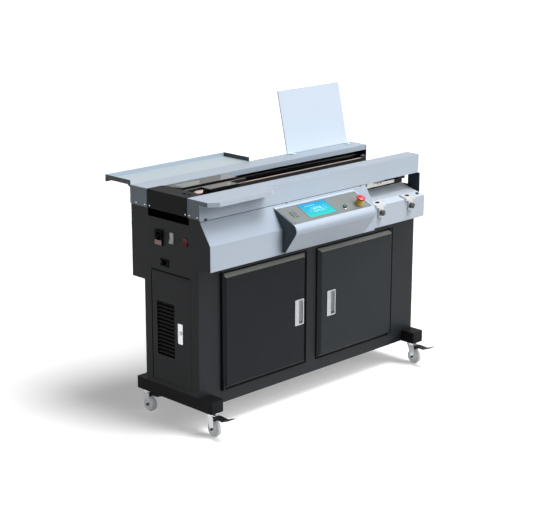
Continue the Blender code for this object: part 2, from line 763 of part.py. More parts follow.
def caster(name, x, y):
    """A swivel caster: fork, wheel and brake pedal, each on its own axis."""
    top = CASTER_HEIGHT - CASTER_PLATE - GAP
    crown = top - SWIVEL_HEIGHT
    swivel = Vector((x, y, top))
    axle = Vector((x, y - CASTER_TRAIL, WHEEL_RADIUS))
    pivot = Vector((x, y - PEDAL_PIVOT_REACH, CASTER_HEIGHT - PEDAL_PIVOT_DROP))
    inner = HUB_WIDTH / 2 + GAP

    fork = piece(name + "_fork", rod((x, y, 0.0), AXIS["z"], SWIVEL_RADIUS,
                                     crown - CROWN_SHEET, top), CHROME, swivel)
    reach = inner + FORK_SHEET
    parts = [box((x - reach, y - PEDAL_PIVOT_REACH / 2 - PEDAL_HUB_RADIUS, crown - CROWN_SHEET),
                 (x + reach, y + FORK_WIDTH / 2, crown))]
    parts += [fork_side(x - inner, -1, swivel), fork_side(x + inner, 1, swivel)]
    parts += [rod(axle, AXIS["x"], AXLE_RADIUS, -reach - AXLE_HEAD, reach + AXLE_HEAD,
                  SMALL_SEGMENTS),
              rod(pivot, AXIS["x"], PEDAL_PIVOT_RADIUS, -reach - AXLE_HEAD / 2,
                  reach + AXLE_HEAD / 2, SMALL_SEGMENTS)]
    join(fork, *parts)
    smooth(fork)

    bore = AXLE_RADIUS + GAP
    half, hub = WHEEL_WIDTH / 2, HUB_WIDTH / 2
    web = WHEEL_RADIUS - 2 * TYRE_ROUND
    profile = [(bore, -hub), (HUB_RADIUS, -hub), (HUB_RADIUS, -half / 2), (web, -half / 2),
               (web, -half), (WHEEL_RADIUS - TYRE_ROUND, -half), (WHEEL_RADIUS, TYRE_ROUND - half),
               (WHEEL_RADIUS, half - TYRE_ROUND), (WHEEL_RADIUS - TYRE_ROUND, half), (web, half),
               (web, half / 2), (HUB_RADIUS, half / 2), (HUB_RADIUS, hub), (bore, hub)]
    smooth(piece(name + "_wheel", turned(profile, axle, AXIS["x"]), PALE_RUBBER, axle, fork))

    line = [(y - PEDAL_START, CASTER_HEIGHT - PEDAL_DIP + PEDAL_SHEET),
            (y - PEDAL_BEND, CASTER_HEIGHT - PEDAL_DIP),
            (y - PEDAL_TIP, CASTER_HEIGHT - PEDAL_TIP_DROP)]
    pedal = piece(name + "_pedal", prism(folded(line, PEDAL_SHEET), "x", x - PEDAL_WIDTH / 2,
                                         x + PEDAL_WIDTH / 2), BLACK_PLASTIC, pivot, fork)
    arm_top = CASTER_HEIGHT - PEDAL_DIP + PEDAL_SHEET / 4
    shoe = box((-hub, -SHOE_WIDTH / 2, -SHOE_REACH), (hub, SHOE_WIDTH / 2, 0.0))
    bmesh.ops.transform(shoe, matrix=Matrix.Translation(pivot)
                        @ Matrix.Rotation(-SHOE_ANGLE, 4, "X"), verts=shoe.verts)
    join(pedal, rod(pivot, AXIS["x"], PEDAL_HUB_RADIUS, -hub, hub, SMALL_SEGMENTS),
         box((x - hub, pivot.y - PEDAL_ARM_LENGTH, arm_top - PEDAL_ARM_DEPTH),
             (x + hub, pivot.y, arm_top)), shoe)
    cut(pedal, rod(pivot, AXIS["x"], PEDAL_PIVOT_RADIUS + GAP, -hub - OVERRUN, hub + OVERRUN,
                   SMALL_SEGMENTS))
    smooth(pedal)
    return fork


# Sheet-metal body

def skirt_line():
    """The outside of the front skirt in section, from its bottom return up to the beam."""
    slope = (SKIRT_REACH - BEAM_REACH) / (BEAM_BOTTOM - SKIRT_BEND)
    top = BEAM_BOTTOM - SKIRT_SEAM
    return [(-GAP, SKIRT_BOTTOM), (-SKIRT_REACH, SKIRT_BOTTOM), (-SKIRT_REACH, SKIRT_BEND),
            (-BEAM_REACH - SKIRT_SEAM * slope, top)]


def skirt_y(z):
    """How far out the skirt's outside lies at a height on its slope."""
    slope = (SKIRT_REACH - BEAM_REACH) / (BEAM_BOTTOM - SKIRT_BEND)
    return -BEAM_REACH - (BEAM_BOTTOM - z) * slope


def apron_z(y):
    """The height of the apron's table at a depth."""
    return APRON_BEND + (y + APRON_REACH) * APRON_RISE / (APRON_REACH + APRON_BACK)


def side_panels():
    """The two black side panels, and what is cut out of them."""
    behind = -BEAM_REACH + COVER_SHEET + GAP
    inside = moved_line(skirt_line(), -(COVER_SHEET + GAP))
    bend = inside[2]
    meet = crossing(bend, inside[3], (behind, 0.0), (behind, PANEL_TOP))
    back = [(CABINET_DEPTH, FOOT_TOP + GAP), (CABINET_DEPTH, OVERHANG_BOTTOM),
            (REAR, OVERHANG_BOTTOM), (REAR, PANEL_TOP)]
    outline = ([(0.0, FOOT_TOP + GAP)] + back + [(behind, PANEL_TOP), tuple(meet), tuple(bend),
               (bend.x, SKIRT_BOTTOM), (0.0, SKIRT_BOTTOM)])
    left = piece("left_side_panel", prism(outline, "x", 0.0, PANEL_SHEET), BLACK)
    through = (-OVERRUN, PANEL_SHEET + OVERRUN)

    def window(front, rear, low, high):
        return box((through[0], front, low), (through[1], rear, high))

    rockers = [(WHITE_ROCKER_Y, WHITE_ROCKER_WIDTH, WHITE_ROCKER_Z, WHITE_ROCKER_HEIGHT),
               (RED_ROCKER_Y, RED_ROCKER_WIDTH, RED_ROCKER_Z, RED_ROCKER_HEIGHT)]
    holes = [window(SLOT_FRONT, SLOT_REAR, SLOT_BOTTOM, SLOT_BOTTOM + SLOT_HEIGHT),
             window(SERVICE_FRONT, SERVICE_REAR, SERVICE_BOTTOM, SERVICE_TOP),
             window(BREAKER_Y - GAP, BREAKER_Y + BREAKER_WIDTH + GAP, BREAKER_Z - GAP,
                    BREAKER_Z + BREAKER_HEIGHT + GAP),
             window(INLET_Y + INLET_RIM - GAP, INLET_Y + INLET_WIDTH - INLET_RIM + GAP,
                    INLET_Z + INLET_RIM - GAP, INLET_Z + INLET_HEIGHT - INLET_RIM + GAP)]
    for y, width, z, height in rockers:
        holes.append(window(y - ROCKER_GAP, y + width + ROCKER_GAP,
                            z - height / 2 - ROCKER_GAP, z + height / 2 + ROCKER_GAP))
    cut(left, *holes)
    hinge = service_hinge()
    across = (hinge.x + SERVICE_LUG_REACH, hinge.y - SERVICE_LUG_REACH,
              hinge.y + SERVICE_LUG_REACH)
    lugs = [box((PANEL_SHEET / 2, across[1], low), (across[0], across[2], high))
            for low, high in ((SERVICE_BOTTOM - SERVICE_LUG, SERVICE_BOTTOM),
                              (SERVICE_TOP, SERVICE_TOP + SERVICE_LUG))]
    join(left, *lugs)
    cut(left, rod(hinge, AXIS["z"], SERVICE_PIN_RADIUS + GAP, SERVICE_BOTTOM - SERVICE_LUG
                  - OVERRUN - hinge.z, SERVICE_TOP + SERVICE_LUG + OVERRUN - hinge.z,
                  SMALL_SEGMENTS))

    notch_rear = CHANNEL_REAR + GAP
    post_top = BEAM_BOTTOM - GAP
    outline = ([(0.0, FOOT_TOP + GAP)] + back
               + [(notch_rear, PANEL_TOP), (notch_rear, NOTCH_BOTTOM), (POST_REAR, NOTCH_BOTTOM),
                  (POST_REAR, PANEL_TOP), (behind, PANEL_TOP), (behind, post_top),
                  (-POST_FRONT, post_top), (-POST_FRONT, SKIRT_BOTTOM), (0.0, SKIRT_BOTTOM)])
    piece("right_side_panel", prism(outline, "x", LENGTH - PANEL_SHEET, LENGTH), BLACK)


def back_and_floor():
    """The folded back panel and the cabinet floor, between the side panels."""
    inner = CABINET_DEPTH - BACK_SHEET
    line = [(REAR, PANEL_TOP), (REAR, OVERHANG_BOTTOM), (CABINET_DEPTH, OVERHANG_BOTTOM),
            (CABINET_DEPTH, FOOT_TOP + GAP)]
    section = folded(line, -BACK_SHEET)
    piece("back_panel", prism(section, "x", INNER_LEFT, INNER_RIGHT), BLACK)
    floor = FOOT_TOP + GAP
    piece("cabinet_floor", box((INNER_LEFT, FRAME_DEPTH + GAP, floor),
                               (INNER_RIGHT, inner - GAP, floor + PANEL_SHEET)), BLACK)


def front_frame():
    """The folded front frame, with two door openings and a lug for each hinge pin."""
    low = CASTER_HEIGHT
    step_left, step_right = FOOT_WIDTH + GAP, LENGTH - FOOT_WIDTH - GAP
    foot_line = FOOT_TOP + GAP
    outline = [(INNER_LEFT, foot_line), (step_left, foot_line), (step_left, low),
               (step_right, low), (step_right, foot_line), (INNER_RIGHT, foot_line),
               (INNER_RIGHT, FRAME_TOP), (INNER_LEFT, FRAME_TOP)]
    frame = piece("front_frame", prism(outline, "y", 0.0, FRAME_DEPTH), BLACK)
    openings = door_openings()
    low_z, high_z = DOOR_BOTTOM + DOOR_LAP, DOOR_TOP - DOOR_LAP
    tools = [box((start, -OVERRUN, low_z), (end, FRAME_DEPTH + OVERRUN, high_z))
             for start, end in openings]
    edges = [INNER_LEFT] + [edge for opening in openings for edge in opening] + [INNER_RIGHT]
    pocket_low, pocket_high = foot_line + FRAME_SHEET, FRAME_TOP - FRAME_SHEET
    for start, end in zip(edges[::2], edges[1::2]):
        tools.append(box((start + FRAME_SHEET, FRAME_SHEET, pocket_low),
                         (end - FRAME_SHEET, FRAME_DEPTH + OVERRUN, pocket_high)))
    tools.append(box((step_left + FRAME_SHEET, FRAME_SHEET, low + FRAME_SHEET),
                     (step_right - FRAME_SHEET, FRAME_DEPTH + OVERRUN, foot_line)))
    cut(frame, *tools)
    lugs, pin_holes = [], []
    for axis_x in hinge_lines():
        for low_lug, high_lug in hinge_lug_heights():
            centre = (axis_x, hinge_y(), 0.0)
            lugs.append(rod(centre, AXIS["z"], HINGE_LUG_RADIUS, low_lug, high_lug,
                            ROUND_SEGMENTS))
            lugs.append(box((axis_x - HINGE_LUG_RADIUS, hinge_y(), low_lug),
                            (axis_x + HINGE_LUG_RADIUS, FRAME_SHEET / 2, high_lug)))
            pin_holes.append(rod(centre, AXIS["z"], HINGE_PIN_RADIUS + GAP, low_lug - OVERRUN,
                                 high_lug + OVERRUN, SMALL_SEGMENTS))
    join(frame, *lugs)
    cut(frame, *pin_holes)


def door_spans():
    """The left and right edges of both doors."""
    return ((LEFT_DOOR_START, LEFT_DOOR_START + DOOR_WIDTH),
            (RIGHT_DOOR_START, RIGHT_DOOR_START + DOOR_WIDTH))


def door_openings():
    """The left and right edges of the openings behind both doors."""
    return [(start + DOOR_LAP, end - DOOR_LAP) for start, end in door_spans()]


def hinge_y():
    """The depth of the door hinge axes, in the thickness of the door's edge."""
    return -DOOR_GAP - HINGE_INSET


def hinge_lines():
    """The x of both door hinge axes, at the outer edge of each door."""
    (left, _), (_, right) = door_spans()
    return left + HINGE_NOSE, right - HINGE_NOSE


def hinge_lug_heights():
    """The bottom and top of the lugs below and above the doors."""
    return ((DOOR_BOTTOM - GAP - HINGE_LUG_HEIGHT, DOOR_BOTTOM - GAP),
            (DOOR_TOP + GAP, DOOR_TOP + GAP + HINGE_LUG_HEIGHT))


def loft(rings):
    """A closed solid through rings with the same number of points, capped at both ends."""
    mesh = bmesh.new()
    loops = [[mesh.verts.new(point) for point in ring] for ring in rings]
    count = len(loops[0])
    for lower, upper in zip(loops, loops[1:]):
        for step in range(count):
            after = (step + 1) % count
            mesh.faces.new((lower[step], lower[after], upper[after], upper[step]))
    mesh.faces.new(loops[0])
    mesh.faces.new(loops[-1][::-1])
    bmesh.ops.recalc_face_normals(mesh, faces=mesh.faces)
    return mesh


def door_ring(start, end, inset, y):
    """The four corners of a door's outline, drawn in by inset, at a depth."""
    low, high = DOOR_BOTTOM + inset, DOOR_TOP - inset
    return [(start + inset, y, low), (end - inset, y, low),
            (end - inset, y, high), (start + inset, y, high)]


def door(name, span, hinge_x, pull_start):
    """A raised pan door with sloped borders, hinge pins and a flush pull."""
    start, end = span
    back = -DOOR_GAP
    step = back - DOOR_EDGE
    face = back - DOOR_DEPTH
    axis = Vector((hinge_x, hinge_y(), DOOR_BOTTOM))
    rings = [door_ring(start, end, 0.0, back), door_ring(start, end, 0.0, step),
             door_ring(start, end, DOOR_CHAMFER, face)]
    panel = piece(name, loft(rings), BLACK, axis)
    inner = [door_ring(start, end, DOOR_EDGE + DOOR_SKIN, back + OVERRUN),
             door_ring(start, end, DOOR_EDGE + DOOR_SKIN, step),
             door_ring(start, end, DOOR_CHAMFER + DOOR_SKIN, face + DOOR_SKIN)]
    outer_edge = start if hinge_x < (start + end) / 2 else end
    away = 1 if outer_edge == start else -1
    post = (outer_edge - away * OVERRUN, hinge_x + away * (HINGE_NOSE - HINGE_BITE))
    pocket_side = hinge_x + away * (HINGE_NOSE + DOOR_SKIN)
    for ring in inner:
        for index, point in enumerate(ring):
            if abs(point[0] - outer_edge) < DOOR_WIDTH / 2:
                clear = max(pocket_side, point[0]) if away > 0 else min(pocket_side, point[0])
                ring[index] = (clear, point[1], point[2])
    pull_end = pull_start + PULL_WIDTH
    hole = box((pull_start + PULL_RIM - GAP, face - OVERRUN, PULL_BOTTOM + PULL_RIM - GAP),
               (pull_end - PULL_RIM + GAP, back + OVERRUN,
                PULL_BOTTOM + PULL_HEIGHT - PULL_RIM + GAP))
    cut(panel, loft(inner), hole)
    nose_cut = box((min(post), hinge_y(), DOOR_BOTTOM - OVERRUN),
                   (max(post), back + OVERRUN, DOOR_TOP + OVERRUN))
    cut(panel, nose_cut)
    reach = HINGE_PIN_LENGTH
    join(panel, rod((hinge_x, hinge_y(), 0.0), AXIS["z"], HINGE_NOSE, DOOR_BOTTOM, DOOR_TOP),
         rod((hinge_x, hinge_y(), 0.0), AXIS["z"], HINGE_PIN_RADIUS, DOOR_BOTTOM - reach,
             DOOR_TOP + reach, SMALL_SEGMENTS))
    smooth(panel)
    door_pull(name + "_pull", pull_start, face, panel)
    return panel


def door_pull(name, start, face, carrier):
    """A chrome flush pull: a thin bezel on the door, a pocket, and a grip over half of it."""
    end = start + PULL_WIDTH
    low, high = PULL_BOTTOM, PULL_BOTTOM + PULL_HEIGHT
    bezel = shifted(rounded_rectangle(PULL_WIDTH, PULL_HEIGHT, PULL_RIM),
                    (start + end) / 2, (low + high) / 2)
    pull = piece(name, prism(bezel, "y", face - GAP - PULL_BEZEL, face - GAP), CHROME,
                 (start, face, low), carrier)
    join(pull, box((start + PULL_RIM, face - GAP - PULL_BEZEL / 2, low + PULL_RIM),
                   (end - PULL_RIM, face + PULL_POCKET, high - PULL_RIM)))
    wall = PULL_RIM + PULL_WALL
    deep = face + PULL_POCKET - PULL_WALL
    grip = start + wall + (PULL_WIDTH - 2 * wall) * PULL_GRIP_SHARE
    cut(pull, box((grip, face - PULL_BEZEL - OVERRUN, low + wall), (end - wall, deep, high - wall)),
        box((start + wall, face + PULL_WALL, low + wall), (grip + PULL_WALL, deep, high - wall)))
    return pull


def service_hinge():
    """The lowest point of the service door on its hinge axis."""
    return Vector((SERVICE_NOSE, SERVICE_REAR - DOOR_GAP - SERVICE_NOSE,
                   SERVICE_BOTTOM + DOOR_GAP))


def service_door():
    """The flush service door in the left panel, with its louvre and its push lock."""
    front, rear = SERVICE_FRONT + DOOR_GAP, SERVICE_REAR - DOOR_GAP
    low, high = SERVICE_BOTTOM + DOOR_GAP, SERVICE_TOP - DOOR_GAP
    axis = service_hinge()
    skin = box((0.0, front, low), (SERVICE_DEPTH, rear - SERVICE_NOSE, high))
    panel = piece("service_door", skin, BLACK, axis)
    rim = SERVICE_SKIN
    pocket_rear = rear - 2 * SERVICE_NOSE - rim
    window = (Vector((-OVERRUN, LOUVRE_FRONT, LOUVRE_BOTTOM)),
              Vector((SERVICE_DEPTH + OVERRUN, LOUVRE_REAR, LOUVRE_TOP)))
    cut(panel, box((rim, front + rim, low + rim), (SERVICE_DEPTH + OVERRUN, pocket_rear, high - rim)),
        box(*window))
    stem_hole = LOCK_STEM / 2 + GAP
    cut(panel, box((-OVERRUN, LOCK_Y - stem_hole, LOCK_Z - stem_hole),
                   (rim + OVERRUN, LOCK_Y + stem_hole, LOCK_Z + stem_hole)))
    frame_low = (0.0, LOUVRE_FRONT - rim, LOUVRE_BOTTOM - rim)
    frame_high = (LOUVRE_DEPTH, LOUVRE_REAR + rim, LOUVRE_TOP + rim)
    ring = piece("louvre_frame", box(frame_low, frame_high), BLACK)
    cut(ring, box(*window))
    ring_mesh = bmesh.new()
    ring_mesh.from_mesh(ring.data)
    bpy.data.objects.remove(ring)
    barrel = rod(axis, AXIS["z"], SERVICE_NOSE, 0.0, high - low)
    pin = rod(axis, AXIS["z"], SERVICE_PIN_RADIUS, -SERVICE_PIN_LENGTH,
              high - low + SERVICE_PIN_LENGTH, SMALL_SEGMENTS)
    join(panel, ring_mesh, barrel, pin, *louvre_blades())
    smooth(panel)
    push_lock(panel)
    return panel


def louvre_blades():
    """Sloped blades across the louvre window, let into its sides."""
    pitch = (LOUVRE_TOP - LOUVRE_BOTTOM) / LOUVRE_COUNT
    lean = LOUVRE_BLADE * sin(LOUVRE_ANGLE)
    run = LOUVRE_DEPTH - lean - 2 * GAP
    drop = run * tan(LOUVRE_ANGLE)
    blades = []
    for row in range(LOUVRE_COUNT):
        top = LOUVRE_BOTTOM + pitch * (row + 1) - LOUVRE_BLADE / 2
        line = [(GAP + lean, top - drop), (GAP + lean + run, top)]
        section = folded(line, LOUVRE_BLADE)
        blade = prism([(point.x, point.y) for point in section], "y",
                      LOUVRE_FRONT - LOUVRE_BITE, LOUVRE_REAR + LOUVRE_BITE)
        blades.append(blade)
    return blades


def push_lock(carrier):
    """The square push button of the service door's lock."""
    stem = LOCK_STEM / 2
    half = LOCK_SIZE / 2
    cap = box((-LOCK_PROUD - LOCK_CAP, LOCK_Y - half, LOCK_Z - half),
              (-LOCK_PROUD, LOCK_Y + half, LOCK_Z + half))
    button = piece("service_lock", cap, BLACK_PLASTIC, (0.0, LOCK_Y, LOCK_Z), carrier)
    join(button, box((-LOCK_PROUD - LOCK_CAP / 2, LOCK_Y - stem, LOCK_Z - stem),
                     (LOCK_STEM_LENGTH, LOCK_Y + stem, LOCK_Z + stem)))
    return button


def front_skirt():
    """The long folded skirt below the beam, closed at its right end."""
    section = folded(skirt_line(), -COVER_SHEET)
    skirt = piece("front_skirt", prism(section, "x", 0.0, SKIRT_LENGTH), SILVER)
    inside = moved_line(skirt_line(), -COVER_SHEET / 2)
    cap_low = SKIRT_BOTTOM + COVER_SHEET / 2
    cap = [(-GAP, cap_low), (inside[2].x, cap_low), tuple(inside[2]), tuple(inside[3]),
           (-GAP, inside[3].y)]
    join(skirt, prism(cap, "x", SKIRT_LENGTH - COVER_SHEET, SKIRT_LENGTH))
    cut(skirt, box((-OVERRUN, COVER_SHEET + GAP - SKIRT_REACH, SKIRT_BOTTOM - OVERRUN),
                   (INNER_LEFT, OVERRUN, SKIRT_BOTTOM + COVER_SHEET + GAP)))
    return skirt


def right_apron():
    """The lower apron at the right: a sloped infeed table folded over its front band."""
    start, end = SKIRT_LENGTH + GAP, LENGTH - APRON_INSET
    line = [(-GAP, APRON_BOTTOM), (-APRON_REACH, APRON_BOTTOM), (-APRON_REACH, APRON_BEND),
            (APRON_BACK, apron_z(APRON_BACK)), (APRON_BACK, apron_z(APRON_BACK) - BEAM_RETURN)]
    section = folded(line, -COVER_SHEET)
    apron = piece("right_apron", prism(section, "x", start, end), SILVER)
    inside = moved_line(line, -COVER_SHEET / 2)
    cap = [(-GAP, inside[1].y), tuple(inside[1]), tuple(inside[2]),
           (-GAP, apron_z(-GAP) - COVER_SHEET / 2)]
    join(apron, prism(cap, "x", end - COVER_SHEET, end))
    return apron


def front_cover():
    """The long box beam with its ledge, open below, with a return flange along its foot."""
    front, rear = -BEAM_REACH, BEAM_REAR
    beam = piece("front_cover", box((OUTER_LEFT, front, BEAM_BOTTOM),
                                    (OUTER_RIGHT, rear, TOP_HEIGHT)), SILVER)
    ledge = [(OUTER_LEFT, rear - COVER_SHEET), (OUTER_LEFT, LEDGE_CORNER_REACH - LEDGE_REACH),
             (OUTER_LEFT + LEDGE_CORNER, -LEDGE_REACH), (LEDGE_LENGTH - LEDGE_CORNER, -LEDGE_REACH),
             (LEDGE_LENGTH, LEDGE_CORNER_REACH - LEDGE_REACH), (LEDGE_LENGTH, rear - COVER_SHEET)]
    join(beam, prism(ledge, "z", TOP_HEIGHT - LEDGE_LIP, TOP_HEIGHT))
    outline = [(OUTER_LEFT + COVER_SHEET, front + GAP)] + ledge[1:5] + [(LEDGE_LENGTH, front + GAP)]
    hollow = moved_line([outline[0]] + outline[1:5] + [outline[5]], COVER_SHEET)
    hollow[0] = Vector((OUTER_LEFT + COVER_SHEET, front))
    hollow[-1] = Vector((LEDGE_LENGTH - COVER_SHEET, front))
    ledge_hollow = prism([tuple(point) for point in hollow], "z",
                         TOP_HEIGHT - LEDGE_LIP - OVERRUN, COVER_UNDER)
    inner = box((-GAP, front + COVER_SHEET, BEAM_BOTTOM - OVERRUN),
                (LENGTH + GAP, rear - COVER_SHEET, COVER_UNDER))
    trims = [box((start, front - OVERRUN, BEAM_BOTTOM - OVERRUN),
                 (end, rear + OVERRUN, FLANGE_BOTTOM))
             for start, end in ((OUTER_LEFT - OVERRUN, -GAP), (LENGTH + GAP, OUTER_RIGHT + OVERRUN))]
    trims += panel_notches(rear - COVER_SHEET, rear, BEAM_BOTTOM)
    cut(beam, ledge_hollow, inner, *trims)
    join(beam, box((INNER_LEFT, front + COVER_SHEET / 2, BEAM_BOTTOM),
                   (INNER_RIGHT, front + BEAM_RETURN, BEAM_BOTTOM + COVER_SHEET)))
    return beam


def rear_cover():
    """The rear top cover: a lip over the channel, the top, and flanges down three sides."""
    rear = REAR + GAP + COVER_SHEET
    cover = piece("rear_cover", box((OUTER_LEFT, CHANNEL_REAR, FLANGE_BOTTOM),
                                    (OUTER_RIGHT, rear, TOP_HEIGHT)), SILVER)
    cut(cover, box((-GAP, CHANNEL_REAR + COVER_SHEET, FLANGE_BOTTOM - OVERRUN),
                   (LENGTH + GAP, REAR + GAP, COVER_UNDER)),
        box((-GAP, CHANNEL_REAR - OVERRUN, FLANGE_BOTTOM - OVERRUN),
            (LENGTH + GAP, CHANNEL_REAR + COVER_SHEET + OVERRUN, TOP_HEIGHT - REAR_LIP)),
        *panel_notches(CHANNEL_REAR, CHANNEL_REAR + COVER_SHEET, TOP_HEIGHT - REAR_LIP))
    return cover


def panel_notches(front, rear, low):
    """The notches that let both side panels through an upright cover wall."""
    return [box((start, front - OVERRUN, low - OVERRUN), (end, rear + OVERRUN, COVER_UNDER))
            for start, end in ((-GAP, INNER_LEFT), (INNER_RIGHT, LENGTH + GAP))]


def decks():
    """The black decks beside the channel, the bright guide rail and the rear guide shaft."""
    front, rear = BEAM_REAR + GAP, CHANNEL_REAR - GAP
    line = [(OUTER_LEFT, FLANGE_BOTTOM), (OUTER_LEFT, TOP_HEIGHT),
            (LEFT_DECK_LENGTH, TOP_HEIGHT), (LEFT_DECK_LENGTH, TOP_HEIGHT - LEFT_DECK_RETURN)]
    deck = piece("left_deck", prism([tuple(point) for point in folded(line, -COVER_SHEET)], "y",
                                    front, rear), BLACK)
    notch = box((DECK_NOTCH_X, BEAM_REAR + DECK_NOTCH_Y, COVER_UNDER - OVERRUN),
                (DECK_NOTCH_X + DECK_NOTCH_LENGTH, BEAM_REAR + DECK_NOTCH_Y + DECK_NOTCH_WIDTH,
                 TOP_HEIGHT + OVERRUN))
    cut(deck, notch)

    top = TOP_HEIGHT - FRONT_DECK_DROP
    lip = BEAM_REAR + FRONT_DECK_DEPTH
    start = LEFT_DECK_LENGTH + COVER_SHEET
    line = [(front, top - FRONT_DECK_WALL), (front, top), (lip, top), (lip, top - FRONT_DECK_LIP)]
    section = [tuple(point) for point in folded(line, -COVER_SHEET)]
    piece("front_deck", prism(section, "x", start, FRONT_DECK_END), DARK_STEEL)

    rail_rear = lip - RAIL_INSET
    rail = piece("guide_rail", box((start, rail_rear - RAIL_WIDTH, top + GAP),
                                   (FRONT_DECK_END, rail_rear, top + GAP + RAIL_HEIGHT)), CHROME)
    join(rail, box((FRONT_DECK_END - RAIL_STOP_LENGTH, rail_rear - RAIL_WIDTH, top + GAP),
                   (FRONT_DECK_END, lip, top + GAP + RAIL_STOP_HEIGHT)))
    smooth(piece("rear_guide_shaft", rod((0.0, SHAFT_Y, SHAFT_Z), AXIS["x"], SHAFT_RADIUS,
                                         INNER_LEFT, INNER_RIGHT), CHROME))


# Stations inside the head

def machine_bed():
    """The bed plate with the cutter tower and the nip table welded on it."""
    low = BED_HEIGHT - BED_SHEET
    bed = piece("machine_bed", box((INNER_LEFT, FRAME_DEPTH + BED_FRONT_GAP, low),
                                   (INNER_RIGHT, REAR - BACK_SHEET - GAP, BED_HEIGHT)), CAST_METAL)
    bore = SPINDLE_RADIUS + GAP
    cup = SHROUD_RADIUS - SHROUD_WALL
    tower = turned([(0, low + BED_SHEET / 2), (TOWER_RADIUS, low + BED_SHEET / 2),
                    (TOWER_RADIUS, SHROUD_UNDER), (SHROUD_RADIUS, SHROUD_UNDER),
                    (SHROUD_RADIUS, SHROUD_TOP), (cup, SHROUD_TOP), (cup, SHROUD_FLOOR),
                    (bore, SHROUD_FLOOR), (bore, SHROUD_FLOOR - SPINDLE_LENGTH),
                    (0, SHROUD_FLOOR - SPINDLE_LENGTH)],
                   (CUTTER_X, BOOK_PLANE, 0.0), AXIS["z"], FINE_SEGMENTS)
    rear = NIP_FRONT + NIP_DEPTH
    table = box((NIP_START, NIP_FRONT, low + BED_SHEET / 2), (NIP_START + NIP_LENGTH, rear,
                                                              NIP_TABLE_TOP))
    fence = box((NIP_START, rear - NIP_FENCE, NIP_TABLE_TOP - NIP_FENCE),
                (NIP_START + NIP_LENGTH, rear, NIP_TOP))
    join(bed, tower, table, fence)
    return smooth(bed)


def milling_cutter():
    """The toothed milling disc on its spindle."""
    axis = Vector((CUTTER_X, BOOK_PLANE, SHROUD_FLOOR))
    low = CUTTER_TOP - CUTTER_THICKNESS
    disc = piece("milling_cutter", turned([(0, SHROUD_FLOOR + GAP - SPINDLE_LENGTH / 2),
                                           (SPINDLE_RADIUS, SHROUD_FLOOR + GAP - SPINDLE_LENGTH / 2),
                                           (SPINDLE_RADIUS, low), (CUTTER_RADIUS, low),
                                           (CUTTER_RADIUS, CUTTER_TOP),
                                           (CUTTER_HUB_RADIUS, CUTTER_TOP),
                                           (CUTTER_HUB_RADIUS, CUTTER_TOP + CUTTER_HUB_HEIGHT),
                                           (0, CUTTER_TOP + CUTTER_HUB_HEIGHT)],
                                          (CUTTER_X, BOOK_PLANE, 0.0), AXIS["z"], FINE_SEGMENTS),
                 STEEL, axis)
    teeth = []
    for number in range(CUTTER_TEETH):
        turn = Matrix.Translation(axis) @ Matrix.Rotation(2 * pi * number / CUTTER_TEETH, 4, "Z")
        tooth = box((CUTTER_RADIUS - CUTTER_TOOTH, -CUTTER_TOOTH / 2, low - axis.z - OVERRUN),
                    (CUTTER_RADIUS + OVERRUN, CUTTER_TOOTH / 2, CUTTER_TOP - axis.z + OVERRUN))
        bmesh.ops.transform(tooth, matrix=turn, verts=tooth.verts)
        teeth.append(tooth)
    cut(disc, *teeth)
    return smooth(disc)


def glue_station():
    """The glue tank and the roller that carries glue up to the spine."""
    end, rear = TANK_START + TANK_LENGTH, TANK_FRONT + TANK_DEPTH
    tank = piece("glue_tank", box((TANK_START, TANK_FRONT, BED_HEIGHT + GAP),
                                  (end, rear, TANK_TOP)), CAST_METAL)
    basin = box((TANK_START + TANK_WALL, TANK_FRONT + TANK_WALL, TANK_TOP - TANK_BASIN),
                (end - TANK_WALL, rear - TANK_WALL, TANK_TOP + OVERRUN))
    centre = Vector((TANK_START + TANK_LENGTH * ROLLER_X_SHARE, TANK_FRONT, ROLLER_AXIS))
    cut(tank, basin, rod(centre, AXIS["y"], ROLLER_SHAFT + GAP, -OVERRUN, TANK_DEPTH + OVERRUN))
    inner = TANK_WALL + ROLLER_END_GAP
    profile = [(0, 0.0), (ROLLER_SHAFT, 0.0), (ROLLER_SHAFT, inner), (ROLLER_RADIUS, inner),
               (ROLLER_RADIUS, TANK_DEPTH - inner), (ROLLER_SHAFT, TANK_DEPTH - inner),
               (ROLLER_SHAFT, TANK_DEPTH), (0, TANK_DEPTH)]
    smooth(piece("glue_roller", turned(profile, centre, AXIS["y"]), BRASS, centre))
    smooth(tank)


def nip_plate():
    """The moving nip plate that closes the cover on the spine."""
    front = NIP_FRONT + NIP_SET_BACK
    low = NIP_TABLE_TOP + GAP
    rear = front + NIP_BASE_DEPTH
    section = [(front, low), (rear, low), (rear, NIP_TOP), (rear - NIP_FACE, NIP_TOP),
               (rear - NIP_FACE, low + NIP_BASE_HEIGHT), (front, low + NIP_BASE_HEIGHT)]
    piece("nip_plate", prism(section, "x", NIP_START, NIP_START + NIP_LENGTH), STEEL,
          (NIP_START, front, low))


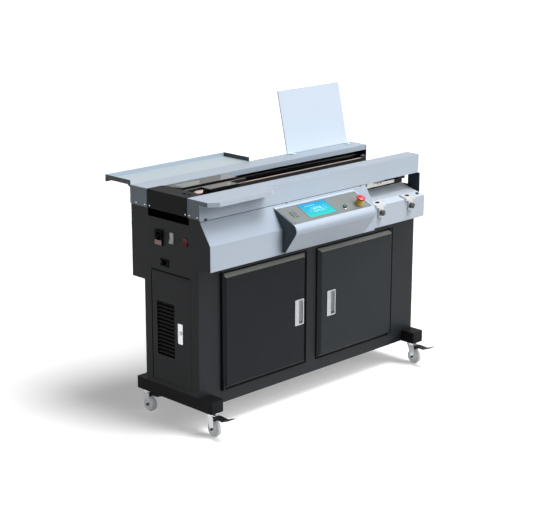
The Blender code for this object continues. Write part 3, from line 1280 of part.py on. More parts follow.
def hold_down():
    """The bright cover hold-down bar under the beam, and the black clamp at its right end."""
    end = HOLD_START + HOLD_LENGTH
    rear = HOLD_FRONT + HOLD_DEPTH
    high = HOLD_BOTTOM + HOLD_HEIGHT
    section = [(HOLD_FRONT, HOLD_BOTTOM), (rear, HOLD_BOTTOM), (rear, high), (HOLD_FRONT, high)]
    bar = piece("cover_hold_down", prism(section, "x", HOLD_START, end), CHROME)
    hanger = box((HOLD_START, HOLD_FRONT - COVER_SHEET, HOLD_BOTTOM + HOLD_HEIGHT / 2),
                 (HOLD_START + CLAMP_LENGTH, HOLD_FRONT + COVER_SHEET, BEAM_BOTTOM - GAP))
    foot_plate = box((HOLD_START, HOLD_FRONT - BEAM_RETURN, BEAM_BOTTOM - GAP - COVER_SHEET),
                     (HOLD_START + CLAMP_LENGTH, HOLD_FRONT + COVER_SHEET, BEAM_BOTTOM - GAP))
    join(bar, hanger, foot_plate)
    start, finish_x = end - CLAMP_BITE, end - CLAMP_BITE + CLAMP_LENGTH
    clamp = piece("hold_down_clamp", box((start, HOLD_FRONT - CLAMP_WALL,
                                          HOLD_BOTTOM - CLAMP_WALL),
                                         (finish_x, rear + CLAMP_WALL, high + CLAMP_WALL)),
                  BLACK_PLASTIC)
    join(clamp, box((start, HOLD_FRONT - BEAM_RETURN, high + CLAMP_WALL / 2),
                    (finish_x, HOLD_FRONT + CLAMP_WALL, BEAM_BOTTOM - GAP)))
    cut(clamp, box((start - OVERRUN, HOLD_FRONT - GAP, HOLD_BOTTOM - GAP),
                   (end + GAP, rear + GAP, high + GAP)))


def carriage():
    """The clamp carriage on its rail and shaft, with the moving jaw between its end bars."""
    start, end = CARRIAGE_START, CARRIAGE_START + CARRIAGE_LENGTH
    low = CARRIAGE_BAR_TOP - CARRIAGE_BAR_HEIGHT
    jaw_rear = CARRIAGE_FRONT + FRONT_JAW_SHEET
    bar_rear = SHAFT_Y + SHAFT_RADIUS + SHAFT_WALL
    frame = piece("clamp_carriage", box((start, CARRIAGE_FRONT, JAW_BOTTOM),
                                        (end, jaw_rear, JAW_TOP)), DARK_STEEL,
                  (start, CARRIAGE_FRONT, JAW_BOTTOM))
    top = TOP_HEIGHT - FRONT_DECK_DROP + GAP + RAIL_HEIGHT + GAP
    bars = [box((x, jaw_rear - GAP, low), (x + CARRIAGE_END, bar_rear, CARRIAGE_BAR_TOP))
            for x in (start, end - CARRIAGE_END)]
    runner = box((RUNNER_START, RUNNER_FRONT, top),
                 (RUNNER_START + RUNNER_LENGTH, jaw_rear - GAP, JAW_TOP))
    join(frame, runner, *bars)
    cut(frame, rod((0.0, SHAFT_Y, SHAFT_Z), AXIS["x"], SHAFT_RADIUS + GAP, start - OVERRUN,
                   end + OVERRUN))
    smooth(frame)

    face = jaw_rear + JAW_OPENING
    inner_start, inner_end = start + CARRIAGE_END, end - CARRIAGE_END
    left, right = inner_start - JAW_PLATE_OVERLAP, inner_end + JAW_PLATE_OVERLAP
    plan = [(left + JAW_CHAMFER, face), (right, face), (right, JAW_PLATE_REAR),
            (left, JAW_PLATE_REAR), (left, face + JAW_CHAMFER_DEPTH)]
    jaw = piece("clamp_jaw", prism(plan, "z", JAW_TOP - JAW_PLATE, JAW_TOP), STEEL,
                (start, face, JAW_BOTTOM), frame)
    foot_low = CARRIAGE_BAR_TOP + GAP
    foot_front = face + JAW_CHAMFER_DEPTH + OVERRUN
    parts = [box((inner_start + DOOR_GAP, face, JAW_BOTTOM),
                 (inner_end - DOOR_GAP, face + JAW_SHEET, JAW_TOP - JAW_PLATE / 2))]
    for low_x, high_x in ((left, inner_start - GAP), (inner_end + GAP, right)):
        parts.append(box((low_x, foot_front, foot_low),
                         (high_x, JAW_PLATE_REAR - JAW_FOOT_FRONT, JAW_TOP - JAW_PLATE / 2)))
    join(jaw, *parts)
    return frame


# Console

def console_line():
    """The outside of the console in section, from its rear edge over the nose to its return."""
    rear = (skirt_y(CONSOLE_REAR_Z) - COVER_SHEET - 2 * GAP, CONSOLE_REAR_Z)
    nose = (-CONSOLE_NOSE_Y, CONSOLE_NOSE_Z)
    toe = (-SKIRT_REACH - CONSOLE_TOE_REACH, SKIRT_BOTTOM + CONSOLE_TOE_RISE)
    bend = [tuple(point) for point in rounded(rear, nose, toe, CONSOLE_NOSE_RADIUS, 10)]
    return [rear] + bend + [toe, (-SKIRT_REACH - 2 * GAP, toe[1])]


def console_frame_axes():
    """A point on the console's top edge, the way forward along the top, and the way up."""
    line = console_line()
    rear, front = Vector(line[0]), Vector(line[1])
    forward = (front - rear).normalized()
    up = Vector((forward.y, -forward.x))
    if up.y < 0:
        up = -up
    return rear, forward, up


def on_console(x, along, height):
    """A machine point given by its x, its distance along the console's top, and its height."""
    rear, forward, up = console_frame_axes()
    place = rear + forward * along + up * height
    return Vector((x, place.x, place.y))


def console_block(x_start, x_end, along_start, along_end, low, high):
    """A box that lies square to the console's top."""
    corners = [on_console(0.0, along, height)
               for along, height in ((along_start, low), (along_end, low),
                                     (along_end, high), (along_start, high))]
    return prism([(corner.y, corner.z) for corner in corners], "x", x_start, x_end)


def console():
    """The console: a silver wrap over black cheeks, a grey panel, a screen and two buttons."""
    start, end = CONSOLE_START, CONSOLE_START + CONSOLE_LENGTH
    line = console_line()
    shell = piece("console_shell", prism(folded(line, COVER_SHEET), "x", start, end), SILVER)
    top = GAP + DIAL_PANEL_SHEET
    screen = (start + SCREEN_START, start + SCREEN_START + SCREEN_WIDTH)
    screen_along = (SCREEN_REAR, SCREEN_REAR + SCREEN_DEPTH)
    _, _, up = console_frame_axes()
    normal = Vector((0.0, up.x, up.y))
    button_at = on_console(start + BUTTON_X, BUTTON_ALONG, 0.0)
    stop_at = on_console(start + STOP_X, STOP_ALONG, 0.0)

    def holes():
        depth = COVER_SHEET + OVERRUN
        return [console_block(screen[0] - GAP, screen[1] + GAP, screen_along[0] - GAP,
                              screen_along[1] + GAP, -depth, top + OVERRUN),
                rod(button_at, normal, BUTTON_STEM + GAP, -depth, top + OVERRUN, SMALL_SEGMENTS),
                rod(stop_at, normal, STOP_STEM_RADIUS + GAP, -depth, top + OVERRUN,
                    SMALL_SEGMENTS)]

    cut(shell, *holes())
    smooth(shell)
    dial = piece("console_panel", console_block(start + DIAL_PANEL_LEFT, end - DIAL_PANEL_RIGHT,
                                                DIAL_PANEL_REAR, DIAL_PANEL_FRONT, GAP, top),
                 GREY_PLATE)
    cut(dial, *holes())
    piece("touch_screen", console_block(*screen, *screen_along, top + SCREEN_PROUD
                                        - SCREEN_THICKNESS, top + SCREEN_PROUD), GLASS_BLUE)

    inside = moved_line(line, COVER_SHEET + GAP)
    skirt = moved_line(skirt_line(), GAP)
    top_meet = crossing(inside[0], inside[1], skirt[2], skirt[3])
    toe_meet = crossing(inside[-2], inside[-1], skirt[1], skirt[2])
    cheek = [tuple(point) for point in [top_meet] + inside[1:-1] + [toe_meet, skirt[2]]]
    frame = piece("console_frame", prism(cheek, "x", start, start + CHEEK_SHEET), BLACK)
    join(frame, prism(cheek, "x", end - CHEEK_SHEET, end),
         box((start + CHEEK_SHEET / 2, -TIE_Y - TIE_WIDTH / 2, TIE_Z - TIE_WIDTH / 2),
             (end - CHEEK_SHEET / 2, -TIE_Y + TIE_WIDTH / 2, TIE_Z + TIE_WIDTH / 2)))
    smooth(frame)

    rise = top + BUTTON_RISE
    button = turned([(0, top - BUTTON_STEM_LENGTH), (BUTTON_STEM, top - BUTTON_STEM_LENGTH),
                     (BUTTON_STEM, rise), (BUTTON_RADIUS, rise), (BUTTON_RADIUS, rise + BUTTON_CAP),
                     (0, rise + BUTTON_CAP)], button_at, normal)
    smooth(piece("start_button", button, GREEN_PLASTIC, button_at))

    bore = STOP_STEM_RADIUS + GAP
    base = turned([(bore, top + GAP), (STOP_BASE_RADIUS, top + GAP),
                   (STOP_BASE_TOP_RADIUS, top + STOP_BASE_HEIGHT), (bore, top + STOP_BASE_HEIGHT)],
                  stop_at, normal)
    smooth(piece("stop_base", base, YELLOW_PLASTIC, stop_at))
    low = top + STOP_HEAD_RISE
    high = low + STOP_HEAD_HEIGHT
    dome = arc((0.0, high - STOP_HEAD_RADIUS), STOP_HEAD_RADIUS, 0.0, pi / 2, 4)
    dome = [(point.x, max(point.y, low + STOP_HEAD_HEIGHT / 3)) for point in dome[1:-1]]
    head = turned([(0, top + STOP_HEAD_RISE - STOP_STEM_LENGTH),
                   (STOP_STEM_RADIUS, top + STOP_HEAD_RISE - STOP_STEM_LENGTH),
                   (STOP_STEM_RADIUS, low), (STOP_HEAD_RADIUS, low),
                   (STOP_HEAD_RADIUS, low + STOP_HEAD_HEIGHT / 3)] + dome + [(0, high)],
                  stop_at, normal)
    smooth(piece("stop_head", head, RED_PLASTIC, stop_at))


# Electrical fittings

def rocker(name, look, y, width, z, height):
    """A rocker that turns on a line along y in the plane of the panel."""
    radius = height / 2
    outline = arc((0.0, z), radius, -pi / 2 - ROCKER_OUT, pi / 2 + ROCKER_IN, 10)
    outline.append(Vector((-radius * ROCKER_FACE_SHARE, z)))
    axis = (0.0, y + width / 2, z)
    return smooth(piece(name, prism([tuple(point) for point in outline], "y", y, y + width),
                        look, axis))


def breaker():
    """The main breaker in the left panel and its lever."""
    low, high = BREAKER_Z, BREAKER_Z + BREAKER_HEIGHT
    start, end = BREAKER_Y, BREAKER_Y + BREAKER_WIDTH
    body = piece("breaker_body", box((-BREAKER_PROUD, start, low), (BREAKER_DEPTH, end, high)),
                 WHITE_PLASTIC)
    middle = (start + end) / 2
    pivot = Vector((0.0, middle, low + BREAKER_HEIGHT * LEVER_Z_SHARE))
    half = LEVER_WIDTH / 2 + GAP
    cut(body, box((-BREAKER_PROUD - OVERRUN, middle - half, pivot.z - LEVER_SLOT / 2),
                  (LEVER_BARREL + GAP, middle + half, pivot.z + LEVER_SLOT / 2)))
    barrel = rod((0.0, middle, pivot.z), AXIS["y"], LEVER_BARREL, -LEVER_WIDTH / 2,
                 LEVER_WIDTH / 2, ROUND_SEGMENTS)
    lever = piece("breaker_lever", barrel, BLACK_PLASTIC, pivot)
    join(lever, box((-LEVER_REACH, middle - LEVER_WIDTH / 2, pivot.z),
                    (0.0, middle + LEVER_WIDTH / 2, pivot.z + LEVER_THICKNESS / 2)),
         box((-LEVER_REACH, middle - LEVER_WIDTH / 2, pivot.z - LEVER_THICKNESS / 2),
             (0.0, middle + LEVER_WIDTH / 2, pivot.z + GAP)))
    smooth(lever)


def power_inlet():
    """The mains inlet: a flange, a recess and three pins."""
    low, high = INLET_Z, INLET_Z + INLET_HEIGHT
    start, end = INLET_Y, INLET_Y + INLET_WIDTH
    inlet = piece("power_inlet", box((-GAP - INLET_FLANGE, start, low), (-GAP, end, high)),
                  BLACK_PLASTIC)
    join(inlet, box((-GAP - INLET_FLANGE / 2, start + INLET_RIM, low + INLET_RIM),
                    (INLET_DEPTH, end - INLET_RIM, high - INLET_RIM)))
    middle, centre = (start + end) / 2, (low + high) / 2
    floor = INLET_RECESS_DEPTH - GAP - INLET_FLANGE
    cut(inlet, box((-GAP - INLET_FLANGE - OVERRUN, middle - INLET_RECESS_WIDTH / 2,
                    centre - INLET_RECESS_HEIGHT / 2),
                   (floor, middle + INLET_RECESS_WIDTH / 2, centre + INLET_RECESS_HEIGHT / 2)))
    pins = []
    for step in (-1, 0, 1):
        y = middle + step * PIN_PITCH
        z = centre + (PIN_HEIGHT / 2 if step == 0 else -PIN_HEIGHT / 4)
        pins.append(box((floor - PIN_LENGTH, y - PIN_WIDTH / 2, z - PIN_HEIGHT / 2),
                        (floor + PIN_WIDTH, y + PIN_WIDTH / 2, z + PIN_HEIGHT / 2)))
    join(inlet, *pins)


# Tray, board and stop blocks

def paper_tray():
    """The folded paper tray behind the head, with upturned ends and two gussets."""
    front = REAR + GAP + COVER_SHEET + GAP
    rear = front + TRAY_DEPTH
    line = [(front, TOP_HEIGHT - TRAY_FLANGE), (front, TOP_HEIGHT), (rear, TOP_HEIGHT),
            (rear, TOP_HEIGHT - TRAY_HEM)]
    section = [tuple(point) for point in folded(line, -COVER_SHEET)]
    tray = piece("paper_tray", prism(section, "x", 0.0, TRAY_LENGTH), SILVER)
    parts = [box((x, front, COVER_UNDER), (x + COVER_SHEET, rear, TOP_HEIGHT + TRAY_LIP))
             for x in (0.0, TRAY_LENGTH - COVER_SHEET)]
    gusset = [(front, TOP_HEIGHT - TRAY_GUSSET_DROP), (front, COVER_UNDER + COVER_SHEET / 2),
              (front + TRAY_GUSSET_REACH, COVER_UNDER + COVER_SHEET / 2),
              (front + TRAY_GUSSET_REACH, COVER_UNDER - COVER_SHEET),
              (front + COVER_SHEET + TRAY_HEM, TOP_HEIGHT - TRAY_GUSSET_DROP)]
    for x in (TRAY_GUSSET_INSET, TRAY_LENGTH - TRAY_GUSSET_INSET - COVER_SHEET):
        parts.append(prism(gusset, "x", x, x + COVER_SHEET))
    join(tray, *parts)
    return tray


def cover_board():
    """The acrylic board that leans back behind the channel, on two short tabs."""
    end = BOARD_START + BOARD_WIDTH
    foot_y, foot_z = REAR - BOARD_INSET, TOP_HEIGHT + GAP
    up = Vector((sin(BOARD_LEAN), cos(BOARD_LEAN)))
    across = Vector((cos(BOARD_LEAN), -sin(BOARD_LEAN)))
    base = Vector((foot_y, foot_z + BOARD_SHEET * sin(BOARD_LEAN)))
    section = [base, base + across * BOARD_SHEET, base + across * BOARD_SHEET + up * BOARD_HEIGHT,
               base + up * BOARD_HEIGHT]
    board = piece("cover_board", prism([tuple(p) for p in section], "x", BOARD_START, end), ACRYLIC)
    tabs = []
    for x in (BOARD_START + BOARD_TAB_MARGIN, end - BOARD_TAB_MARGIN - BOARD_TAB_WIDTH):
        tabs.append(box((x, foot_y - BOARD_TAB_REACH, foot_z),
                        (x + BOARD_TAB_WIDTH, foot_y + BOARD_SHEET / 2, foot_z + BOARD_TAB_SHEET)))
    join(board, *tabs)
    return board


def stop_block(number, centre):
    """A bright stop block that hooks over the apron's bend, and its clamping knob."""
    rise = APRON_RISE / (APRON_REACH + APRON_BACK)
    lift = GAP * sqrt(1 + rise * rise)
    front = -APRON_REACH - GAP
    line = [(front, BLOCK_LEG_BOTTOM), (front, apron_z(front) + lift),
            (front + BLOCK_BACK, apron_z(front + BLOCK_BACK) + lift)]
    section = [tuple(point) for point in folded(line, BLOCK_SHEET)]
    half = BLOCK_WIDTH / 2
    name = "stop_block_%d" % number
    place = Vector((centre, front, APRON_BEND))
    block = piece(name, prism(section, "x", centre - half, centre + half), CHROME, place)
    leg = BLOCK_LEG_WIDTH / 2
    trim_top = APRON_BEND - BLOCK_SHEET
    trims = [box((low, front - BLOCK_SHEET - OVERRUN, BLOCK_LEG_BOTTOM - OVERRUN),
                 (high, front + OVERRUN / 2, trim_top))
             for low, high in ((centre - half - OVERRUN, centre - leg),
                               (centre + leg, centre + half + OVERRUN))]
    hole = prism(shifted(slot_outline(BLOCK_HOLE_LENGTH, BLOCK_HOLE_WIDTH), centre,
                         front + BLOCK_BACK / 2), "z", APRON_BEND - OVERRUN,
                 APRON_BEND + APRON_RISE)
    stud = Vector((centre, front - BLOCK_SHEET, KNOB_Z))
    cut(block, hole, rod(stud, AXIS["y"], KNOB_STUD_RADIUS + GAP, -OVERRUN,
                         BLOCK_SHEET + OVERRUN, SMALL_SEGMENTS), *trims)
    smooth(block)
    outline = []
    for step in range(2 * KNOB_LOBES):
        angle = pi * step / KNOB_LOBES
        radius = KNOB_RADIUS - KNOB_LOBE_DEPTH * (step % 2)
        outline.append((stud.x + radius * sin(angle), stud.z + radius * cos(angle)))
    knob = piece("stop_knob_%d" % number, prism(outline, "y", stud.y - GAP - KNOB_LENGTH,
                                                stud.y - GAP), BLACK_PLASTIC, stud, block)
    join(knob, rod(stud, AXIS["y"], KNOB_STUD_RADIUS, -KNOB_LENGTH / 2, BLOCK_SHEET - GAP,
                   SMALL_SEGMENTS))
    return block


# Assembly

def centre_on_floor():
    """Moves the machine so that its box stands on the floor, centred on the origin."""
    bpy.context.view_layer.update()
    corners = [thing.matrix_world @ vertex.co for thing in bpy.context.scene.objects
               if thing.type == "MESH" for vertex in thing.data.vertices]
    low = [min(corner[axis] for corner in corners) for axis in range(3)]
    high = [max(corner[axis] for corner in corners) for axis in range(3)]
    MACHINE.location = (-(low[0] + high[0]) / 2, -(low[1] + high[1]) / 2, -low[2])
    bpy.context.view_layer.update()


def build():
    """Builds every piece of the machine."""
    foot("left_foot", 0.0)
    foot("right_foot", LENGTH - FOOT_WIDTH)
    for side, x in (("left", FOOT_WIDTH / 2), ("right", LENGTH - FOOT_WIDTH / 2)):
        for end, y in zip(("front", "rear"), caster_rows()):
            caster("%s_%s_caster" % (end, side), x, y)
    side_panels()
    back_and_floor()
    front_frame()
    left_hinge, right_hinge = hinge_lines()
    left_span, right_span = door_spans()
    door("left_door", left_span, left_hinge, left_span[1] - LEFT_PULL_INSET - PULL_WIDTH)
    door("right_door", right_span, right_hinge, right_span[0] + RIGHT_PULL_INSET)
    service_door()
    front_skirt()
    right_apron()
    front_cover()
    rear_cover()
    decks()
    machine_bed()
    milling_cutter()
    glue_station()
    nip_plate()
    hold_down()
    carriage()
    console()
    rocker("white_rocker", WHITE_PLASTIC, WHITE_ROCKER_Y, WHITE_ROCKER_WIDTH, WHITE_ROCKER_Z,
           WHITE_ROCKER_HEIGHT)
    rocker("red_rocker", RED_PLASTIC, RED_ROCKER_Y, RED_ROCKER_WIDTH, RED_ROCKER_Z,
           RED_ROCKER_HEIGHT)
    breaker()
    power_inlet()
    paper_tray()
    cover_board()
    for number, share in enumerate(BLOCK_MARGIN_SHARES, start=1):
        stop_block(number, LENGTH - APRON_LENGTH * share)
    centre_on_floor()


clear_scene()
MACHINE = bpy.data.objects.new("machine", None)
bpy.context.scene.collection.objects.link(MACHINE)
build()
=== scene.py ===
"""Looks of a perfect binding machine: its finishes, small fittings, floor, lamps and camera."""

import json
import logging
from abc import ABC, abstractmethod
from dataclasses import dataclass, field, replace
from enum import Enum
from math import cos, pi, radians, sin
from typing import Self

import bmesh
import bpy
from bpy.types import ID, Material, Node, NodeSocket, NodeTree, Object
from mathutils import Matrix, Vector


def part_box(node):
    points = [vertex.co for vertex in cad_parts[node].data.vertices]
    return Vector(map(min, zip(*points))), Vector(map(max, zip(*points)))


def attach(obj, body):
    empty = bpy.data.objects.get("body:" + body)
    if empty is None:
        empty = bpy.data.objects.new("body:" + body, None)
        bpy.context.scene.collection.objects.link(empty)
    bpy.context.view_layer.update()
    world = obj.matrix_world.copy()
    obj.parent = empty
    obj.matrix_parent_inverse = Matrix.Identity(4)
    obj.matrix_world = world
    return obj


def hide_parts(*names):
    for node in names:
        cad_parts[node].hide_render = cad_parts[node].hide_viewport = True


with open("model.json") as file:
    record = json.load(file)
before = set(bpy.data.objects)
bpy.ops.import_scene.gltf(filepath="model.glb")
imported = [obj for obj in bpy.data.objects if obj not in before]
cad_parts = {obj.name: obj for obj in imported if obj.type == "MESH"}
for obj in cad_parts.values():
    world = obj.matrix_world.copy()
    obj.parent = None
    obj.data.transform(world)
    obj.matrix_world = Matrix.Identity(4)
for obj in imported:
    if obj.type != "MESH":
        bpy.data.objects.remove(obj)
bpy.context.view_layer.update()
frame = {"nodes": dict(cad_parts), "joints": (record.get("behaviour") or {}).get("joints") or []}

LOG = logging.getLogger("binding_machine")
MM = 0.001
UNTURNED = Matrix()

Pair = tuple[float, float]
Pairs = tuple[Pair, ...]
Point = tuple[float, float, float]
Loop = list[Point]
Loops = list[Loop]


# Colour and node helpers

WHITE = (1.0, 1.0, 1.0, 1.0)
# The detail of both noises and the part of their span that drift and gloss follow, the least
# roughness, how strongly relief shows and how many rays look for a broken edge
GRAIN_DETAIL = 2.0
DRIFT_DETAIL = 3.0
DRIFT_SPAN = (0.3, 0.7)
GLOSS_SPAN = (0.25, 0.75)
LEAST_ROUGHNESS = 0.02
RELIEF_STRENGTH = 0.6
EDGE_SAMPLES = 4


def linear(code: str) -> tuple[float, float, float, float]:
    """Turns an sRGB hex colour into linear red, green, blue and an alpha of one."""
    values = [int(code[place:place + 2], 16) / 255 for place in (1, 3, 5)]
    return (*(value / 12.92 if value <= 0.04045 else ((value + 0.055) / 1.055) ** 2.4
              for value in values), 1.0)


def add_node(tree: NodeTree, kind: str, sockets: dict | None = None,
             **settings: object) -> Node:
    """Adds one shader node with its settings, values and links.

    Args:
        tree: The node tree that gets the node.
        kind: The node's type name without its prefix.
        sockets: What goes into each input, by name or number: a value or another node's output.
        settings: The node's own properties.

    Returns:
        The new node.
    """
    node = tree.nodes.new("ShaderNode" + kind)
    for name, value in settings.items():
        setattr(node, name, value)
    for key, value in (sockets or {}).items():
        if isinstance(value, NodeSocket):
            tree.links.new(value, node.inputs[key])
        else:
            node.inputs[key].default_value = value
    return node


def placed(name: str, data: ID) -> Object:
    """Makes an object in the scene.

    Args:
        name: The object's name.
        data: The mesh, lamp or camera that it holds.

    Returns:
        The new object.
    """
    thing = bpy.data.objects.new(name, data)
    bpy.context.scene.collection.objects.link(thing)
    return thing


class Grain(Enum):
    """How a surface was worked, as the stretch of its texture along x, y and z."""

    EVEN = (1.0, 1.0, 1.0)
    ALONG_X = (0.02, 1.0, 1.0)
    ALONG_Y = (1.0, 0.02, 1.0)
    ALONG_Z = (1.0, 1.0, 0.02)


class Way(Enum):
    """Where a face looks, as the axis of its normal and that normal's sign."""

    LEFT = (0, -1.0)
    RIGHT = (0, 1.0)
    FRONT = (1, -1.0)
    UP = (2, 1.0)
    DOWN = (2, -1.0)

    @property
    def vector(self) -> Vector:
        """The way as a vector."""
        axis, sign = self.value
        return Vector([sign if side == axis else 0.0 for side in range(3)])


@dataclass(frozen=True)
class Tint:
    """Another colour on the faces that look one way: painted light and shade on that side."""

    colour: str
    way: Way = Way.UP
    turned_in: float = 0.6
    blend: float = 0.05


@dataclass(frozen=True)
class Finish:
    """A surface: colour, gloss, the texture of its process, and its tints' painted light and
    shade.
    """

    name: str
    colour: str
    drift: str
    roughness: float
    slot: str = ""
    metallic: float = 0.0
    specular: float = 0.5
    coat: float = 0.0
    grain: Grain = Grain.EVEN
    grain_mm: float = 1.0
    relief_mm: float = 0.01
    drift_mm: float = 150.0
    drift_share: float = 0.5
    gloss_spread: float = 0.08
    edge_mm: float = 0.6
    alpha: float = 1.0
    glow: float = 0.0
    tints: tuple[Tint, ...] = ()

    def material(self) -> Material:
        """Builds the material once and returns it each time."""
        made = bpy.data.materials.get(self.name)
        return made or self.build()

    def build(self) -> Material:
        """Makes the node tree: drifting colour, uneven gloss, fine relief and broken edges.

        Returns:
            The new material.
        """
        material = bpy.data.materials.new(self.name)
        material.use_nodes = True
        tree = material.node_tree
        shader = tree.nodes["Principled BSDF"]
        place = add_node(tree, "TexCoord").outputs["Object"]
        worked = add_node(tree, "Mapping", {"Vector": place, "Scale": self.grain.value})
        grain = add_node(tree, "TexNoise", {
            "Vector": worked.outputs[0], "Detail": GRAIN_DETAIL,
            "Scale": 1 / (self.grain_mm * MM)})
        cloud = add_node(tree, "TexNoise", {
            "Vector": place, "Detail": DRIFT_DETAIL, "Scale": 1 / (self.drift_mm * MM)})
        share = add_node(tree, "MapRange", {
            0: cloud.outputs[0], 1: DRIFT_SPAN[0], 2: DRIFT_SPAN[1], 3: 0.0,
            4: self.drift_share})
        tint = add_node(tree, "Mix", {
            "Factor": share.outputs[0], "A": linear(self.colour), "B": linear(self.drift)},
            data_type="RGBA")
        tree.links.new(self.tinted(tree, tint.outputs["Result"]), shader.inputs["Base Color"])
        gloss = add_node(tree, "MapRange", {
            0: grain.outputs[0], 1: GLOSS_SPAN[0], 2: GLOSS_SPAN[1],
            3: max(LEAST_ROUGHNESS, self.roughness - self.gloss_spread),
            4: self.roughness + self.gloss_spread})
        tree.links.new(gloss.outputs[0], shader.inputs["Roughness"])
        edge = add_node(tree, "Bevel", {"Radius": self.edge_mm * MM},
                        samples=EDGE_SAMPLES)
        relief = add_node(tree, "Bump", {
            "Height": grain.outputs[0], "Strength": RELIEF_STRENGTH,
            "Distance": self.relief_mm * MM, "Normal": edge.outputs[0]})
        tree.links.new(relief.outputs[0], shader.inputs["Normal"])
        for socket, value in (("Metallic", self.metallic), ("Coat Weight", self.coat),
                              ("Specular IOR Level", self.specular), ("Alpha", self.alpha)):
            shader.inputs[socket].default_value = value
        if self.glow:
            shader.inputs["Emission Strength"].default_value = self.glow
            shader.inputs["Emission Color"].default_value = linear(self.colour)
        return material

    def tinted(self, tree: NodeTree, colour: NodeSocket) -> NodeSocket:
        """Mixes in the tints, the painted light and shade, where the surface looks their way.

        Args:
            tree: The material's node tree.
            colour: The colour so far.

        Returns:
            The colour with its tints.
        """
        if not self.tints:
            return colour
        axes = add_node(tree, "SeparateXYZ", {0: add_node(tree, "TexCoord").outputs["Normal"]})
        for tint in self.tints:
            axis, sign = tint.way.value
            share = add_node(tree, "MapRange", {
                0: axes.outputs[axis], 1: sign * (tint.turned_in - tint.blend),
                2: sign * (tint.turned_in + tint.blend)})
            colour = add_node(tree, "Mix", {
                "Factor": share.outputs[0], "A": colour, "B": linear(tint.colour)},
                data_type="RGBA").outputs["Result"]
        return colour


@dataclass(frozen=True)
class ScreenFinish(Finish):
    """A lit liquid-crystal panel behind dark glass: its light drifts from blue to green."""

    rear: str = "#00A8F4"
    front: str = "#00E4D8"
    rear_y: float = 1.0
    front_y: float = 0.0

    def build(self) -> Material:
        """Makes the glass, whose glow runs from the rear colour to the front colour.

        Returns:
            The new material.
        """
        material = super().build()
        tree = material.node_tree
        place = add_node(tree, "TexCoord").outputs["Object"]
        axes = add_node(tree, "SeparateXYZ", {0: place})
        ahead = add_node(tree, "MapRange", {0: axes.outputs[1], 1: self.rear_y, 2: self.front_y})
        light = add_node(tree, "Mix", {
            "Factor": ahead.outputs[0], "A": linear(self.rear), "B": linear(self.front)},
            data_type="RGBA")
        tree.links.new(light.outputs["Result"],
                       tree.nodes["Principled BSDF"].inputs["Emission Color"])
        return material


# Sheet steel, polyester powder coated black: a faint orange peel, broad soft highlights
POWDER_BLACK = Finish(
    "powder_coated_steel_black", "#121416", "#191B1E", 0.50, specular=0.17, grain_mm=1.6,
    relief_mm=0.035, edge_mm=1.0, drift_share=0.6, slot="black_powder_coat")
# The right panel's powder, its faces that look left painted grey: painted light on its inner face
POWDER_LIT_INNER = replace(
    POWDER_BLACK, name="powder_coated_steel_panel", tints=(Tint("#39434B", Way.LEFT),))
# The service door's powder, painted near black where it looks up: painted shade on the louvre
POWDER_SHADED_LOUVRE = replace(
    POWDER_BLACK, name="powder_coated_steel_louvre", tints=(Tint("#040405", turned_in=0.3),))
# The same powder on the front frame, where the photograph shows a greyer black
POWDER_FRONT = replace(
    POWDER_BLACK, name="powder_coated_steel_charcoal", colour="#181C20", drift="#1D2125",
    roughness=0.46, specular=0.22, edge_mm=1.2)
# The right door's powder, painted grey on the slope that looks up: a painted highlight
POWDER_DOOR_HIGHLIGHT = replace(
    POWDER_FRONT, name="powder_coated_steel_door", colour="#171D21", drift="#1C2226",
    roughness=0.44, tints=(Tint("#959692"),))
# The left door's powder: a darker copy as painted shade, a weaker shine, the same painted
# highlight
POWDER_SHADED_LEFT_DOOR = replace(
    POWDER_DOOR_HIGHLIGHT, name="powder_coated_steel_left_door", colour="#14171C", drift="#191C21",
    roughness=0.46, specular=0.14)
# The console's cheeks, painted greyer on their faces that look left: painted light
POWDER_LIT_CHEEK = replace(
    POWDER_FRONT, name="powder_coated_steel_cheek", colour="#1B1E20", drift="#202325",
    tints=(Tint("#4C565D", Way.LEFT),))
# Thicker black powder on the feet, the painted shadow plate and the left deck: darker and duller
# Its faces that look to the front are painted lighter: painted light
POWDER_FOOT_LIT_FRONT = replace(
    POWDER_FRONT, name="powder_coated_steel_foot", colour="#0B0B0C", drift="#111213",
    roughness=0.58, specular=0.10, grain_mm=2.0, relief_mm=0.05, edge_mm=1.4,
    tints=(Tint("#191A1E", Way.FRONT),))
# Sheet steel in a blue silver stoving enamel: pale, even, with a clear and slightly soft shine
ENAMEL_SILVER = Finish(
    "stove_enamelled_steel_silver", "#C5CFDB", "#CCD5E0", 0.36, specular=0.3, grain_mm=1.2,
    relief_mm=0.012, edge_mm=1.0, drift_mm=260.0, slot="silver_paint")
# The front cover's enamel with painted shade: much darker on its left end, greyer on its tops
ENAMEL_SHADED_COVER = replace(
    ENAMEL_SILVER, name="stove_enamelled_steel_cover", colour="#C0CCDA", drift="#C7D2DF",
    tints=(Tint("#8B98A4", Way.LEFT), Tint("#A0ACBA", turned_in=0.8)))
# The skirt's enamel, painted greyer on the slope that looks up: painted shade under the beam
ENAMEL_SHADED_SKIRT = replace(
    ENAMEL_SILVER, name="stove_enamelled_steel_skirt", colour="#BCC8D6", drift="#C3CEDB",
    tints=(Tint("#A4B0BE", turned_in=0.4),))
# The console shell's enamel, painted brighter where it looks down: painted light underneath
ENAMEL_SHELL_LIT_BELOW = replace(
    ENAMEL_SILVER, name="stove_enamelled_steel_shell", colour="#B8C5D4", drift="#BFCBD9",
    tints=(Tint("#DCE8F6", Way.DOWN, 0.2),))
# The rear cover's enamel, a shade greyer, its front face painted lighter as painted light
ENAMEL_REAR_LIT_FRONT = replace(
    ENAMEL_SILVER, name="stove_enamelled_steel_grey", colour="#9BA8B6", drift="#A3AFBB",
    roughness=0.38, tints=(Tint("#AFBCCA", Way.FRONT),))
